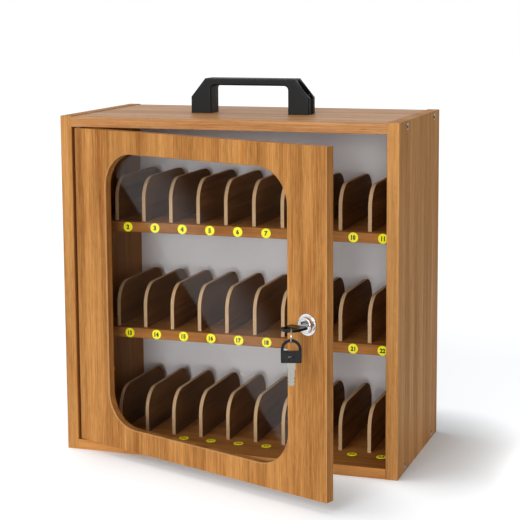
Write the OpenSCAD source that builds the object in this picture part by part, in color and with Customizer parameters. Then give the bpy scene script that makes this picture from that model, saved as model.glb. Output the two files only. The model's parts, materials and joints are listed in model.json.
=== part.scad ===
// Portable storage cabinet with numbered slots, a windowed door, a cam lock and a carry handle.
// Origin: centre of the underside of the cabinet body. The door opens towards -Y, +Z is up.

/* [Cabinet] */
// Overall width across both side panels
body_w = 406; // [380:1:520]
// Overall depth from the front edges to the back
body_d = 202; // [196:1:280]
// Overall height of the side panels
body_h = 400; // [396:1:480]
// Thickness of the side panels
side_t = 14; // [12:0.5:20]
// Thickness of the top panel
top_t = 12; // [11:0.5:16]
// Thickness of the bottom panel
bottom_t = 12; // [11:0.5:16]
// Step from the top of the side panels down to the top panel
top_drop = 0.8; // [0:0.1:4]
// Rounding of the front edges of the boards
edge_r = 1; // [0.2:0.1:2]
// Thickness of the back panel
back_t = 3; // [2:0.5:5]
// Width of the rear rebate that the back panel sits in
rebate_w = 6.5; // [5:0.5:9]
// Gap between the edge of the back panel and its rebate
rebate_gap = 0.3; // [0.1:0.1:1]

/* [Shelves] */
// Thickness of the two shelves
shelf_t = 12; // [9:0.5:15]
// Height of the lower shelf's upper face
lower_shelf_z = 142; // [136:1:146]
// Height of the upper shelf's upper face
upper_shelf_z = 271; // [266:1:280]
// Distance from the front plane to the front edge of the shelves
shelf_setback = 45.5; // [42:0.5:48]
// Depth of the housings in the side panels that carry the shelves
housing_depth = 4; // [3:0.5:6]

/* [Slots] */
// Number of slots in a row
slot_count = 11; // [6:1:12]
// Thickness of a divider
divider_t = 4.4; // [3:0.1:8]
// Distance from the front plane to the front edge of the dividers
divider_setback = 53; // [49:0.5:58]
// Gap between the dividers and the back panel
divider_rear_gap = 11; // [2:1:40]
// Height of a divider above its shelf
divider_h = 52.5; // [45:0.5:80]
// Radius of the two upper corners of a divider
divider_r = 26; // [5:0.5:28]
// Depth of the groove that a divider stands in
groove_depth = 3; // [2:0.5:4]
// Diameter of a number disc
disc_d = 11.5; // [8:0.5:12]
// Thickness of a number disc
disc_t = 0.5; // [0.3:0.1:1]
// Distance from the front plane to the centre of the discs on the bottom panel
floor_disc_setback = 41.5; // [30:0.5:42]

/* [Handle] */
// Overall width of the handle across its feet
handle_w = 146.6; // [130:0.2:180]
// Depth of the handle from front to back
handle_d = 27; // [22:0.5:34]
// Height of the handle above the top panel
handle_h = 41.4; // [38:0.2:60]
// Width of each foot
handle_foot_w = 25.5; // [20:0.5:28]
// Thickness of the grip
handle_grip_t = 8.2; // [6:0.2:12]
// Width of the slope at each shoulder
handle_slope_w = 17.8; // [8:0.2:20]
// Height of the slope at each shoulder
handle_slope_h = 22; // [10:1:24]
// Radius inside the upper corners of the finger opening
handle_inner_r = 5; // [3:0.5:12]
// Rounding along the long edges of the handle
handle_edge_r = 2.5; // [1:0.5:4]
// Distance from each end of the handle to the axis of its screw
handle_screw_in = 7.8; // [6:0.1:12]
// Shank diameter of the handle screws
handle_screw_d = 6; // [5:0.5:6]
// Diameter of the recesses for their heads, open at the shoulders
handle_recess_d = 18; // [12:0.5:18]
// Height of the seats of the screw heads above the top panel
handle_seat = 17; // [6:1:18]

/* [Door] */
// Thickness of the door
door_t = 12; // [11:0.5:13]
// Angle that the door stands open, as modelled
door_open = 21.2; // [0:0.2:60]
// Gap between the hinge edge of the door and the side panel
hinge_gap = 2; // [1.5:0.1:3]
// Gap between the free edge of the door and the side panel
latch_gap = 2; // [1.5:0.1:3]
// Gap above and below the door
door_gap = 1.2; // [1:0.1:2]
// Width of the door frame beside the window
stile_w = 52.5; // [45:0.5:70]
// Height of the door frame above and below the window
rail_h = 26; // [20:0.5:50]
// Radius of the window's corners
window_r = 40; // [10:1:60]
// Width of the chamfer round the front of the window
window_chamfer = 1.2; // [0.5:0.1:2.5]
// Thickness of the window pane
pane_t = 3; // [2:0.5:4]
// How far the pane laps onto the door frame
pane_lap = 6; // [4:0.5:8]
// Gap between the edge of the pane and its rebate
pane_gap = 0.5; // [0.2:0.1:1]
// Diameter of the washer heads that hold the pane
pane_screw_head_d = 9; // [8.5:0.5:11]

/* [Hinge] */
// Diameter of the hinge pins
pin_d = 4; // [3:0.5:5]
// Length of a hinge pin inside the door
pin_in_door = 14; // [8:1:24]
// Length of a hinge pin inside its bush
pin_in_bush = 7.5; // [5:0.5:8]
// Outer diameter of a hinge bush
bush_d = 7; // [6.5:0.5:8]
// Length of a hinge bush inside its panel
bush_l = 8.5; // [8:0.5:9]
// Diameter of the collar of a hinge bush
bush_collar_d = 9.5; // [9:0.5:11]
// Clearance in radius between a turning piece and its bearing
running_fit = 0.06; // [0.02:0.01:0.1]
// Gap left between the door and the collars it turns on
collar_gap = 0.1; // [0.05:0.05:0.3]

/* [Lock] */
// Distance from the free edge of the door to the lock axis
lock_edge = 24; // [23:0.5:32]
// Height of the lock axis above the base
lock_z = 200; // [120:1:300]
// Diameter of the lock's flange
lock_flange_d = 23; // [22:0.5:26]
// Thickness of the lock's flange
lock_flange_t = 1.8; // [1:0.1:3]
// Diameter of the raised face of the lock
lock_face_d = 17; // [16:0.5:18.5]
// Distance that the lock's face stands off the door
lock_stand = 7; // [4.5:0.1:8]
// Diameter of the lock barrel
barrel_d = 19; // [17:0.5:19.5]
// Width across the two flats of the barrel
barrel_flats = 16; // [15:0.5:17]
// Diameter of the turning plug
plug_d = 13; // [11.5:0.1:13.4]
// Width across the flats of the hex nut
nut_af = 24; // [22:0.5:25]
// Thickness of the hex nut
nut_t = 4.5; // [3:0.5:5]
// Distance from the lock axis to the tip of the cam
cam_reach = 32; // [30:0.5:34]
// Width of the cam
cam_w = 10; // [8:0.5:12]
// Thickness of the cam
cam_t = 2.5; // [2:0.5:3]
// Gap between the cam and the lock barrel
cam_gap = 0.3; // [0.2:0.1:0.6]
// Width of the square end of the plug
cam_square = 8; // [6:0.5:8]
// Thickness of the strike plate
strike_t = 1.5; // [1:0.1:2]
// Width of the strike plate, from front to back
strike_w = 16; // [14:0.5:24]
// Length of the strike plate beyond each end of its slot
strike_end = 10; // [8:0.5:16]
// Gap round the cam in the slot of the strike plate
strike_gap = 1.2; // [0.5:0.1:1.5]
// Room past the tip of the cam in the pocket behind the strike plate
strike_room = 2; // [1:0.5:3]

/* [Keys] */
// Width of the key bow
bow_w = 21.3; // [20:0.1:24]
// Length of the key bow
bow_l = 24.7; // [22:0.1:28]
// Thickness of the key bow
bow_t = 2.6; // [2.4:0.1:3.4]
// Width of the rim round the bow's opening
bow_rim = 3; // [2:0.1:3.4]
// How far the bow's opening reaches behind the centre of its arc
bow_chord = 1.5; // [0.5:0.1:3]
// Width of the metal shoulder of the key
shoulder_w = 8.8; // [8:0.1:12]
// Length of the metal shoulder of the key
shoulder_l = 6.8; // [5:0.1:10]
// Width of the key blade
blade_w = 6.8; // [6:0.1:7.4]
// Length of the key blade
blade_l = 17.4; // [14:0.1:18]
// Thickness of the key blade
blade_t = 2; // [1.6:0.1:2.2]
// Clearance in radius or side between the key blade and its keyway
key_fit = 0.15; // [0.1:0.05:0.25]
// Outer diameter of the key ring
ring_d = 16.4; // [16:0.2:20]
// Wire diameter of the key ring
ring_wire = 1.6; // [1.4:0.1:1.8]
// Clearance between the key ring and the bows that hang on it
ring_gap = 0.25; // [0.2:0.05:0.35]
// Angle of the ring about the vertical, from the lock axis
ring_yaw = 38; // [0:1:55]

/* [Fasteners] */
// Head diameter of the panel screws
screw_head_d = 7; // [6:0.5:8]
// Shank diameter of the panel screws
screw_d = 3.5; // [3:0.1:4]
// Length of a panel screw below its head
screw_l = 34; // [28:1:50]
// Distance from the front plane to the front panel screws
screw_front = 38; // [30:1:60]
// Distance from the back to the rear panel screws
screw_rear = 28; // [20:1:50]
// Clearance in radius between a screw and its hole
screw_fit = 0.05; // [0.02:0.01:0.1]
// Spare depth at the blind end of a hole
hole_spare = 0.4; // [0.2:0.1:1]

/* [Hidden] */
$fn = 64;
// Names of the rows of slots, from the top down
ROWS = ["upper", "middle", "lower"];
// Front, back and inner planes of the cabinet
front_y = -body_d / 2;
back_y = body_d / 2;
inner_x = body_w / 2 - side_t;
top_z = body_h - top_drop;
top_under = top_z - top_t;
back_face = back_y - back_t;
// Edges of the back panel's rebate
rebate_x = inner_x + rebate_w;
rebate_low = bottom_t - rebate_w;
rebate_high = top_under + rebate_w;
// Upper faces that the three rows stand on, and the undersides above them, from the top down
row_z = [upper_shelf_z, lower_shelf_z, bottom_t];
row_top = [top_under, upper_shelf_z - shelf_t, lower_shelf_z - shelf_t];
shelf_front = front_y + shelf_setback;
shelf_end_gap = 0.2;
divider_front = front_y + divider_setback;
divider_depth = back_face - divider_rear_gap - divider_front;
slot_pitch = (2 * inner_x + divider_t) / slot_count;
// Door: hinge axis, edges and window
hinge_x = -inner_x + hinge_gap + door_t / 2;
hinge_y = front_y + door_t / 2;
door_right = inner_x - latch_gap;
door_left = -inner_x + hinge_gap;
door_low = bottom_t + door_gap;
door_high = top_under - door_gap;
window_w = door_right - door_left - 2 * stile_w;
window_h = door_high - door_low - 2 * rail_h;
window_x = (door_right + door_left) / 2;
window_z = (door_high + door_low) / 2;
door_back = front_y + door_t;
pane_w = window_w + 2 * pane_lap - 2 * pane_gap;
pane_h = window_h + 2 * pane_lap - 2 * pane_gap;
pane_r = window_r + pane_lap - pane_gap;
// Pane screws: shank, and how far outside the rebate their axes lie
pane_screw_d = 2.4;
pane_screw_l = 7;
pane_screw_out = pane_screw_d / 2 + 0.8;
pane_screw_head_t = 1.6;
// Lock: planes along its axis, measured back from the door's front face
lock_x = door_right - lock_edge;
plug_inset = 0.3;
plug_face = lock_stand - plug_inset;
barrel_past_nut = 1.5;
barrel_end = door_t + nut_t + barrel_past_nut;
barrel_fit = 0.1;
cam_front = barrel_end + cam_gap;
cam_back = cam_front + cam_t;
cam_hub_r = 7.5;
keyway_depth = blade_l + hole_spare;
cam_screw_d = 4;
cam_screw_l = 7;
cam_screw_head_d = 11.6;
cam_screw_head_t = 2.2;
// Strike plate: its slot takes the cam as it turns from upright to level
lock_to_side = lock_edge + latch_gap;
strike_y = front_y + (cam_front + cam_back) / 2;
strike_slot_w = cam_t + 2 * strike_gap;
strike_slot_top = sqrt(pow(cam_reach, 2) - pow(lock_to_side, 2)) + strike_gap;
strike_slot_bottom = -cam_w / 2 - strike_gap;
strike_slot_h = strike_slot_top - strike_slot_bottom;
strike_pocket = cam_reach - lock_to_side + strike_room;
strike_corner_r = 2;
strike_screw_d = 2.5;
strike_screw_l = 11;
strike_screw_head_d = 5.2;
strike_screw_head_t = 1.2;
// Keys: the centre of the bow's arc, its opening, and where the bow stands in the lock
bow_centre = bow_l - bow_w / 2;
bow_hole_r = bow_w / 2 - bow_rim;
tang_w = 6;
tang_l = 7;
bow_corner_r = 1;
key_out = plug_face + shoulder_l;
// Ring: radius of its wire's centre, and how far it and the second key hang down
ring_r = (ring_d - ring_wire) / 2;
rim_mid = bow_w / 2 - bow_rim / 2;
ring_drop = sqrt(pow(ring_r - ring_wire / 2 - ring_gap, 2) - pow(bow_rim / 2, 2)) - bow_t / 2;
spare_ring_gap = ring_gap + 0.05;
spare_drop = ring_drop + ring_r + bow_hole_r - ring_wire / 2 - spare_ring_gap;
// Handle screws: socket heads in the handle, flange nuts under the top panel
handle_screw_x = handle_w / 2 - handle_screw_in;
handle_head_d = handle_screw_d + 4;
handle_head_h = handle_screw_d;
handle_socket_af = handle_screw_d - 1;
handle_nut_af = handle_screw_d + 4;
handle_nut_h = handle_screw_d;
handle_flange_d = handle_nut_af + 4;
handle_flange_t = 1.4;
handle_screw_l = handle_seat + top_t + handle_nut_h + 1;
// Rear tacks: head, shank and places round the back panel
tack_head_d = 4.4;
tack_head_t = 0.8;
tack_d = 1.6;
tack_l = 14;
tack_in = rebate_w / 2;
tack_x = rebate_x - tack_in;
tack_high = rebate_high - tack_in;
tack_low = rebate_low + tack_in;
tack_points = concat(
    [for (x = [-0.75, -0.25, 0.25, 0.75]) for (z = [tack_low, tack_high]) [x * inner_x, z]],
    [for (x = [-tack_x, tack_x]) for (row = [0 : 2]) [x, (row_z[row] + row_top[row]) / 2]]);
// Overshoot of every cut
eps = 0.5;

// Colours
oak = [0.72, 0.49, 0.28];
oak_dark = [0.55, 0.36, 0.20];
oak_edge = [0.83, 0.70, 0.54];
grey = [0.68, 0.68, 0.70];
black = [0.12, 0.12, 0.13];
chrome = [0.85, 0.86, 0.88];
steel = [0.72, 0.73, 0.75];
yellow = [0.96, 0.90, 0.15];
nylon = [0.90, 0.89, 0.85];
clear = [0.85, 0.92, 0.95, 0.35];

// A rectangle with four round corners, centred on the origin
module rounded_rect(w, h, r) {
    square([w - 2 * r, h], center = true);
    square([w, h - 2 * r], center = true);
    for (x = [-1, 1])
        for (y = [-1, 1])
            translate([x * (w / 2 - r), y * (h / 2 - r)])
                circle(r);
}

// A rectangle from the origin whose two corners at x = 0 are round
module front_rounded(w, h, r) {
    translate([r, 0])
        square([w - r, h]);
    translate([0, r])
        square([r, h - 2 * r]);
    for (y = [r, h - r])
        translate([r, y])
            circle(r);
}

// A board across the cabinet, from its front edge back, with rounded front edges
module cross_board(half_w, y, d, z, t) {
    translate([-half_w, y, z])
        rotate([90, 0, 90])
            linear_extrude(2 * half_w)
                front_rounded(d, t, edge_r);
}

// A cylinder along Y from y0 to y1
module along_y(x, y0, y1, z, r) {
    translate([x, y0, z])
        rotate([-90, 0, 0])
            cylinder(h = y1 - y0, r = r);
}

// Holes for the tacks that hold the back panel
module tack_holes() {
    for (p = tack_points)
        along_y(p[0], back_y - tack_l - hole_spare, back_y + eps, p[1], tack_d / 2 + screw_fit);
}

// Places children at the four panel screws of the right-hand side, pointing inwards
module at_side_screws() {
    for (y = [front_y + screw_front, back_y - screw_rear])
        for (z = [bottom_t / 2, top_z - top_t / 2])
            translate([body_w / 2, y, z])
                rotate([0, -90, 0])
                    children();
}

// Grooves for the feet of one row of dividers, in the board whose upper face is at z
module divider_grooves(z) {
    for (i = [1 : slot_count - 1])
        translate([divider_x(i) - divider_t / 2, divider_front, z - groove_depth])
            cube([divider_t, divider_depth, groove_depth + eps]);
}

function divider_x(i) = (i - slot_count / 2) * slot_pitch;
function slot_x(i) = (i - (slot_count + 1) / 2) * slot_pitch;

// The right-hand side panel, with its shelf housings, rear rebate and holes
module side_panel() {
    color(oak)
        difference() {
            translate([inner_x, front_y, 0])
                linear_extrude(body_h)
                    rotate(90)
                        mirror([0, 1])
                            front_rounded(body_d, side_t, edge_r);
            for (z = [lower_shelf_z, upper_shelf_z])
                translate([inner_x - eps, shelf_front, z - shelf_t])
                    cube([housing_depth + eps, back_face - shelf_front, shelf_t]);
            translate([inner_x - eps, back_face, rebate_low])
                cube([rebate_w + eps, back_t + eps, rebate_high - rebate_low]);
            at_side_screws() {
                cylinder(h = side_t + eps, r = screw_d / 2 + screw_fit);
                translate([0, 0, -eps])
                    cylinder(h = eps, r = screw_head_d / 2);
                cylinder(h = (screw_head_d - screw_d) / 2, r1 = screw_head_d / 2, r2 = screw_d / 2);
            }
            tack_holes();
        }
}

// The right side panel, with the strike let into it and a pocket for the cam
module side_right() {
    difference() {
        side_panel();
        at_strike() {
            translate([0, 0, -eps])
                linear_extrude(strike_t + eps)
                    strike_outline();
            strike_slot(strike_pocket);
        }
        strike_screw_holes();
    }
}

module side_left() {
    mirror([1, 0, 0])
        side_panel();
}

// Pilot holes for the panel screws in the ends of the top and bottom panels
module screw_pilots() {
    for (s = [0, 1])
        mirror([s, 0, 0])
            at_side_screws()
                cylinder(h = screw_l + hole_spare, r = screw_d / 2 + screw_fit);
}

module top_panel() {
    color(oak)
        difference() {
            cross_board(inner_x, front_y, body_d, top_under, top_t);
            translate([-inner_x - eps, back_face, top_under - eps])
                cube([2 * (inner_x + eps), back_t + eps, rebate_w + eps]);
            screw_pilots();
            tack_holes();
            for (x = [-1, 1])
                translate([x * handle_screw_x, 0, top_under - eps])
                    cylinder(h = top_t + 2 * eps, r = handle_screw_d / 2 + screw_fit);
            translate([hinge_x, hinge_y, top_under - eps])
                cylinder(h = bush_l + hole_spare + eps, r = bush_d / 2 + screw_fit);
        }
}

module bottom_panel() {
    color(oak)
        difference() {
            cross_board(inner_x, front_y, body_d, 0, bottom_t);
            translate([-inner_x - eps, back_face, rebate_low])
                cube([2 * (inner_x + eps), back_t + eps, rebate_w + eps]);
            screw_pilots();
            tack_holes();
            divider_grooves(bottom_t);
            translate([hinge_x, hinge_y, bottom_t - bush_l - hole_spare])
                cylinder(h = bush_l + hole_spare + eps, r = bush_d / 2 + screw_fit);
        }
}

module back_panel() {
    color(grey)
        difference() {
            translate([-rebate_x + rebate_gap, back_face, rebate_low + rebate_gap])
                cube([2 * (rebate_x - rebate_gap), back_t, rebate_high - rebate_low - 2 * rebate_gap]);
            tack_holes();
        }
}

// One shelf whose upper face is at z, seated in the housings of the side panels
module shelf(z) {
    color(oak)
        difference() {
            cross_board(inner_x + housing_depth - shelf_end_gap, shelf_front,
                        back_face - shelf_front, z - shelf_t, shelf_t);
            divider_grooves(z);
        }
}

module shelf_upper() {
    shelf(upper_shelf_z);
}

module shelf_lower() {
    shelf(lower_shelf_z);
}

// Side outline of a divider: a tongue with round upper corners, and its foot in the groove
module divider_outline() {
    translate([0, -groove_depth])
        square([divider_depth, groove_depth + divider_h - divider_r]);
    translate([divider_r, 0])
        square([divider_depth - 2 * divider_r, divider_h]);
    for (y = [divider_r, divider_depth - divider_r])
        translate([y, divider_h - divider_r])
            circle(divider_r);
}

// Divider i of a row, counted from the left, where row 0 is the upper row
module divider(row, i) {
    color(oak_dark)
        translate([divider_x(i) - divider_t / 2, divider_front, row_z[row]])
            rotate([90, 0, 90])
                linear_extrude(divider_t)
                    divider_outline();
}

// Blank discs for the slot numbers: on the shelf edges, and flat on the bottom panel
module number_discs() {
    color(yellow)
        for (i = [1 : slot_count]) {
            for (z = [upper_shelf_z, lower_shelf_z])
                along_y(slot_x(i), shelf_front - disc_t, shelf_front, z - shelf_t / 2, disc_d / 2);
            translate([slot_x(i), front_y + floor_disc_setback, bottom_t])
                cylinder(h = disc_t, r = disc_d / 2);
        }
}

// Front outline of the handle, from the foot line up
module handle_outline() {
    slope_foot = handle_h - handle_slope_h;
    half = handle_w / 2;
    opening = handle_w - 2 * handle_foot_w;
    difference() {
        polygon([[-half, 0], [half, 0], [half, slope_foot], [half - handle_slope_w, handle_h],
                 [handle_slope_w - half, handle_h], [-half, slope_foot]]);
        translate([0, (handle_h - handle_grip_t) / 2 - handle_inner_r])
            rounded_rect(opening, handle_h - handle_grip_t + 2 * handle_inner_r, handle_inner_r);
    }
}

module handle() {
    color(black)
        translate([0, 0, top_z])
            difference() {
                intersection() {
                    translate([0, handle_d / 2, 0])
                        rotate([90, 0, 0])
                            linear_extrude(handle_d)
                                handle_outline();
                    translate([-handle_w / 2 - eps, 0, handle_h / 2])
                        rotate([90, 0, 90])
                            linear_extrude(handle_w + 2 * eps)
                                translate([0, -handle_edge_r])
                                    rounded_rect(handle_d, handle_h + 2 * handle_edge_r, handle_edge_r);
                }
                for (x = [-1, 1])
                    translate([x * handle_screw_x, 0, 0]) {
                        translate([0, 0, -eps])
                            cylinder(h = handle_seat + 2 * eps, r = handle_screw_d / 2 + screw_fit);
                        translate([0, 0, handle_seat])
                            cylinder(h = handle_h, r = handle_recess_d / 2);
                    }
            }
}

// The two socket-head screws that stand in the handle's recesses
module handle_screws() {
    color(steel)
        for (x = [-1, 1])
            translate([x * handle_screw_x, 0, top_z + handle_seat])
                difference() {
                    union() {
                        translate([0, 0, -handle_screw_l])
                            cylinder(h = handle_screw_l, r = handle_screw_d / 2);
                        cylinder(h = handle_head_h, r = handle_head_d / 2);
                    }
                    translate([0, 0, handle_head_h / 2])
                        cylinder(h = handle_head_h, r = handle_socket_af / 2 / cos(30), $fn = 6);
                }
}

// The two flange nuts on those screws, under the top panel
module handle_nuts() {
    color(steel)
        for (x = [-1, 1])
            translate([x * handle_screw_x, 0, top_under - handle_nut_h])
                difference() {
                    union() {
                        cylinder(h = handle_nut_h, r = handle_nut_af / 2 / cos(30), $fn = 6);
                        translate([0, 0, handle_nut_h - handle_flange_t])
                            cylinder(h = handle_flange_t, r = handle_flange_d / 2);
                    }
                    translate([0, 0, -eps])
                        cylinder(h = handle_nut_h + 2 * eps, r = handle_screw_d / 2 + screw_fit);
                }
}

// A cross-shaped driver recess for a screw of diameter d, opening downwards at height z
module cross_recess(z, d) {
    for (a = [0, 90])
        rotate(a)
            translate([-0.6 * d, -0.15 * d, z - eps])
                cube([1.2 * d, 0.3 * d, 0.4 * d + eps]);
}

// A screw with a flat round head below the origin and its shank up along +Z
module screw(l, d, head_d, head_t) {
    difference() {
        union() {
            cylinder(h = l, r = d / 2);
            translate([0, 0, -head_t])
                cylinder(h = head_t, r = head_d / 2);
        }
        cross_recess(-head_t, d);
    }
}

// The eight screws through the side panels into the top and bottom panels
module side_screws() {
    cone_h = (screw_head_d - screw_d) / 2;
    dome_h = 0.8;
    color(steel)
        for (s = [0, 1])
            mirror([s, 0, 0])
                at_side_screws()
                    difference() {
                        union() {
                            cylinder(h = screw_l, r = screw_d / 2);
                            cylinder(h = cone_h, r1 = screw_head_d / 2, r2 = screw_d / 2);
                            translate([0, 0, -dome_h])
                                cylinder(h = dome_h, r1 = screw_head_d / 2 - 1, r2 = screw_head_d / 2);
                        }
                        cross_recess(-dome_h, screw_d);
                    }
}

module back_tacks() {
    color(steel)
        for (p = tack_points) {
            along_y(p[0], back_y - tack_l, back_y, p[1], tack_d / 2);
            along_y(p[0], back_y, back_y + tack_head_t, p[1], tack_head_d / 2);
        }
}

// Turns children with the door, from closed to the angle it is modelled at
module on_door() {
    translate([hinge_x, hinge_y, 0])
        rotate(-door_open)
            translate([-hinge_x, -hinge_y, 0])
                children();
}

// Cutter for the window: straight sides, round corners, and a chamfer at the front face
module window_cut() {
    wide = window_w / 2 - window_r;
    high = window_h / 2 - window_r;
    depth = door_t + 2 * eps;
    translate([window_x, front_y, window_z]) {
        translate([0, door_t + eps, 0])
            rotate([90, 0, 0])
                linear_extrude(depth)
                    rounded_rect(window_w, window_h, window_r);
        for (x = [-1, 1])
            for (z = [-1, 1])
                translate([x * wide, 0, z * high])
                    rotate([-90, 0, 0])
                        translate([0, 0, -eps])
                            cylinder(h = window_chamfer + eps, r1 = window_r + window_chamfer + eps,
                                     r2 = window_r);
        chamfer_bar(window_w / 2, high);
        rotate([0, 90, 0])
            chamfer_bar(window_h / 2, wide);
    }
}

// The straight part of the window's chamfer: half is the half width, reach the half length along Z
module chamfer_bar(half, reach) {
    out = window_chamfer + eps;
    translate([0, 0, -reach])
        linear_extrude(2 * reach)
            polygon([[-half - out, -eps], [half + out, -eps], [half, window_chamfer],
                     [-half, window_chamfer]]);
}

// Places children at the screws round the pane, on the door's back face, pointing forwards
module at_pane_screws() {
    side_x = window_w / 2 + pane_lap + pane_screw_out;
    side_z = window_h / 2 + pane_lap + pane_screw_out;
    places = concat(
        [for (x = [-1, 1]) for (z = [-0.3, 0, 0.3]) [x * side_x, z * window_h]],
        [for (z = [-1, 1]) for (x = [-0.25, 0.25]) [x * window_w, z * side_z]]);
    for (p = places)
        translate([window_x + p[0], door_back, window_z + p[1]])
            rotate([90, 0, 0])
                children();
}

module door_panel() {
    color(oak)
        on_door()
            difference() {
                translate([0, 0, door_low])
                    linear_extrude(door_high - door_low) {
                        translate([hinge_x, hinge_y])
                            circle(door_t / 2);
                        translate([door_right, front_y])
                            rotate(90)
                                front_rounded_bar(door_right - hinge_x);
                    }
                window_cut();
                translate([window_x, door_back + eps, window_z])
                    rotate([90, 0, 0])
                        linear_extrude(pane_t + eps)
                            rounded_rect(window_w + 2 * pane_lap, window_h + 2 * pane_lap,
                                         window_r + pane_lap);
                at_pane_screws()
                    cylinder(h = pane_screw_l + hole_spare, r = pane_screw_d / 2 + screw_fit);
                at_lock()
                    barrel_shape(-eps, door_t + eps, barrel_fit);
                translate([hinge_x, hinge_y, door_low - eps])
                    cylinder(h = pin_in_door + hole_spare + eps, r = pin_d / 2 + screw_fit);
                translate([hinge_x, hinge_y, door_high - pin_in_door - hole_spare])
                    cylinder(h = pin_in_door + hole_spare + eps, r = pin_d / 2 + screw_fit);
            }
}

// Plan of the door from its free edge back to the hinge axis, with the free edge eased
module front_rounded_bar(l) {
    rotate(90)
        mirror([0, 1])
            front_rounded(l, door_t, edge_r);
}

module window_pane() {
    color(clear)
        on_door()
            translate([window_x, door_back, window_z])
                rotate([90, 0, 0])
                    linear_extrude(pane_t)
                        rounded_rect(pane_w, pane_h, pane_r);
}

module pane_screws() {
    color(steel)
        on_door()
            at_pane_screws()
                screw(pane_screw_l, pane_screw_d, pane_screw_head_d, pane_screw_head_t);
}

// The two pins on the hinge axis, held in the top and bottom edges of the door
module hinge_pins() {
    l = pin_in_door + door_gap + pin_in_bush;
    color(steel)
        on_door() {
            translate([hinge_x, hinge_y, door_low + pin_in_door - l])
                cylinder(h = l, r = pin_d / 2);
            translate([hinge_x, hinge_y, door_high - pin_in_door])
                cylinder(h = l, r = pin_d / 2);
        }
}

// One bush, with its collar below and its sleeve up in the panel
module bush() {
    collar_t = door_gap - collar_gap;
    difference() {
        union() {
            cylinder(h = bush_l, r = bush_d / 2);
            translate([0, 0, -collar_t])
                cylinder(h = collar_t, r = bush_collar_d / 2);
        }
        translate([0, 0, -collar_t - eps])
            cylinder(h = bush_l + collar_t + 2 * eps, r = pin_d / 2 + running_fit);
    }
}

module hinge_bushes() {
    color(nylon) {
        translate([hinge_x, hinge_y, top_under])
            bush();
        translate([hinge_x, hinge_y, bottom_t])
            rotate([180, 0, 0])
                bush();
    }
}

// Lock frame: the origin on the lock axis at the door's front face, +Y into the cabinet
module at_lock() {
    translate([lock_x, front_y, lock_z])
        children();
}

// The barrel with its two flats, from y0 to y1, enlarged by a clearance
module barrel_shape(y0, y1, fit) {
    intersection() {
        along_y(0, y0, y1, 0, barrel_d / 2 + fit);
        translate([-barrel_d, y0 - 1, -barrel_flats / 2 - fit])
            cube([2 * barrel_d, y1 - y0 + 2, barrel_flats + 2 * fit]);
    }
}

// The fixed lock body: flange, necked face and barrel, bored for the plug
module lock_body() {
    face_r = lock_face_d / 2;
    round_r = 1.2;
    color(chrome)
        on_door()
            at_lock()
                difference() {
                    union() {
                        barrel_shape(0, barrel_end, 0);
                        along_y(0, -lock_flange_t, 0, 0, lock_flange_d / 2);
                        rotate([90, 0, 0])
                            cylinder(h = lock_stand - round_r, r1 = barrel_d / 2, r2 = face_r);
                        along_y(0, -lock_stand, 0, 0, face_r - round_r);
                        translate([0, round_r - lock_stand, 0])
                            rotate([90, 0, 0])
                                rotate_extrude()
                                    translate([face_r - round_r, 0])
                                        circle(round_r);
                    }
                    along_y(0, -lock_stand - 1, barrel_end + 1, 0, plug_d / 2 + running_fit);
                }
}

module lock_nut() {
    color(steel)
        on_door()
            at_lock()
                translate([0, door_t, 0])
                    rotate([-90, 0, 0])
                        difference() {
                            cylinder(h = nut_t, r = nut_af / 2 / cos(30), $fn = 6);
                            translate([0, 0, -eps])
                                cylinder(h = nut_t + 2 * eps, r = barrel_d / 2 + screw_fit);
                        }
}

// The turning plug: round body, keyway, and a square end for the cam
module lock_plug() {
    slot_w = blade_w + 2 * key_fit;
    slot_t = blade_t + 2 * key_fit;
    square_inset = 0.1;
    color(chrome)
        on_door()
            at_lock()
                difference() {
                    union() {
                        along_y(0, -plug_face, cam_front, 0, plug_d / 2);
                        translate([-cam_square / 2, barrel_end, -cam_square / 2])
                            cube([cam_square, cam_front + cam_t - square_inset - barrel_end, cam_square]);
                    }
                    translate([-slot_w / 2, -plug_face - eps, -slot_t / 2])
                        cube([slot_w, keyway_depth + eps, slot_t]);
                    along_y(0, cam_back - cam_screw_l - hole_spare, cam_back + eps, 0,
                            cam_screw_d / 2 + screw_fit);
                }
}

// The cam, pointing up as it does when the lock is open
module lock_cam() {
    color(steel)
        on_door()
            at_lock()
                translate([0, cam_front, 0])
                    rotate([-90, 0, 0])
                        difference() {
                            linear_extrude(cam_t) {
                                circle(cam_hub_r);
                                translate([-cam_w / 2, -cam_reach + cam_w / 2])
                                    square([cam_w, cam_reach - cam_w / 2]);
                                intersection() {
                                    circle(cam_reach);
                                    translate([0, cam_w / 2 - cam_reach])
                                        circle(cam_w / 2);
                                }
                            }
                            translate([-cam_square / 2 - screw_fit, -cam_square / 2 - screw_fit, -eps])
                                cube([cam_square + 2 * screw_fit, cam_square + 2 * screw_fit,
                                      cam_t + 2 * eps]);
                        }
}

module cam_screw() {
    color(steel)
        on_door()
            at_lock()
                translate([0, cam_back, 0])
                    rotate([90, 0, 0])
                        screw(cam_screw_l, cam_screw_d, cam_screw_head_d, cam_screw_head_t);
}

// Places children on the inner face of the side panel at the middle of the strike's slot, X to
// the back, Y up and Z into the panel
module at_strike() {
    translate([inner_x, strike_y, lock_z + (strike_slot_top + strike_slot_bottom) / 2])
        rotate([90, 0, 90])
            children();
}

module strike_outline() {
    rounded_rect(strike_w, strike_slot_h + 2 * strike_end, strike_corner_r);
}

module strike_slot(depth) {
    translate([-strike_slot_w / 2, -strike_slot_h / 2, -eps])
        cube([strike_slot_w, strike_slot_h, depth + eps]);
}

// The strike plate: let in flush, with a slot that the cam turns into
module strike_plate() {
    color(steel)
        difference() {
            at_strike()
                difference() {
                    linear_extrude(strike_t)
                        strike_outline();
                    strike_slot(strike_t + eps);
                }
            strike_screw_holes();
        }
}

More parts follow.
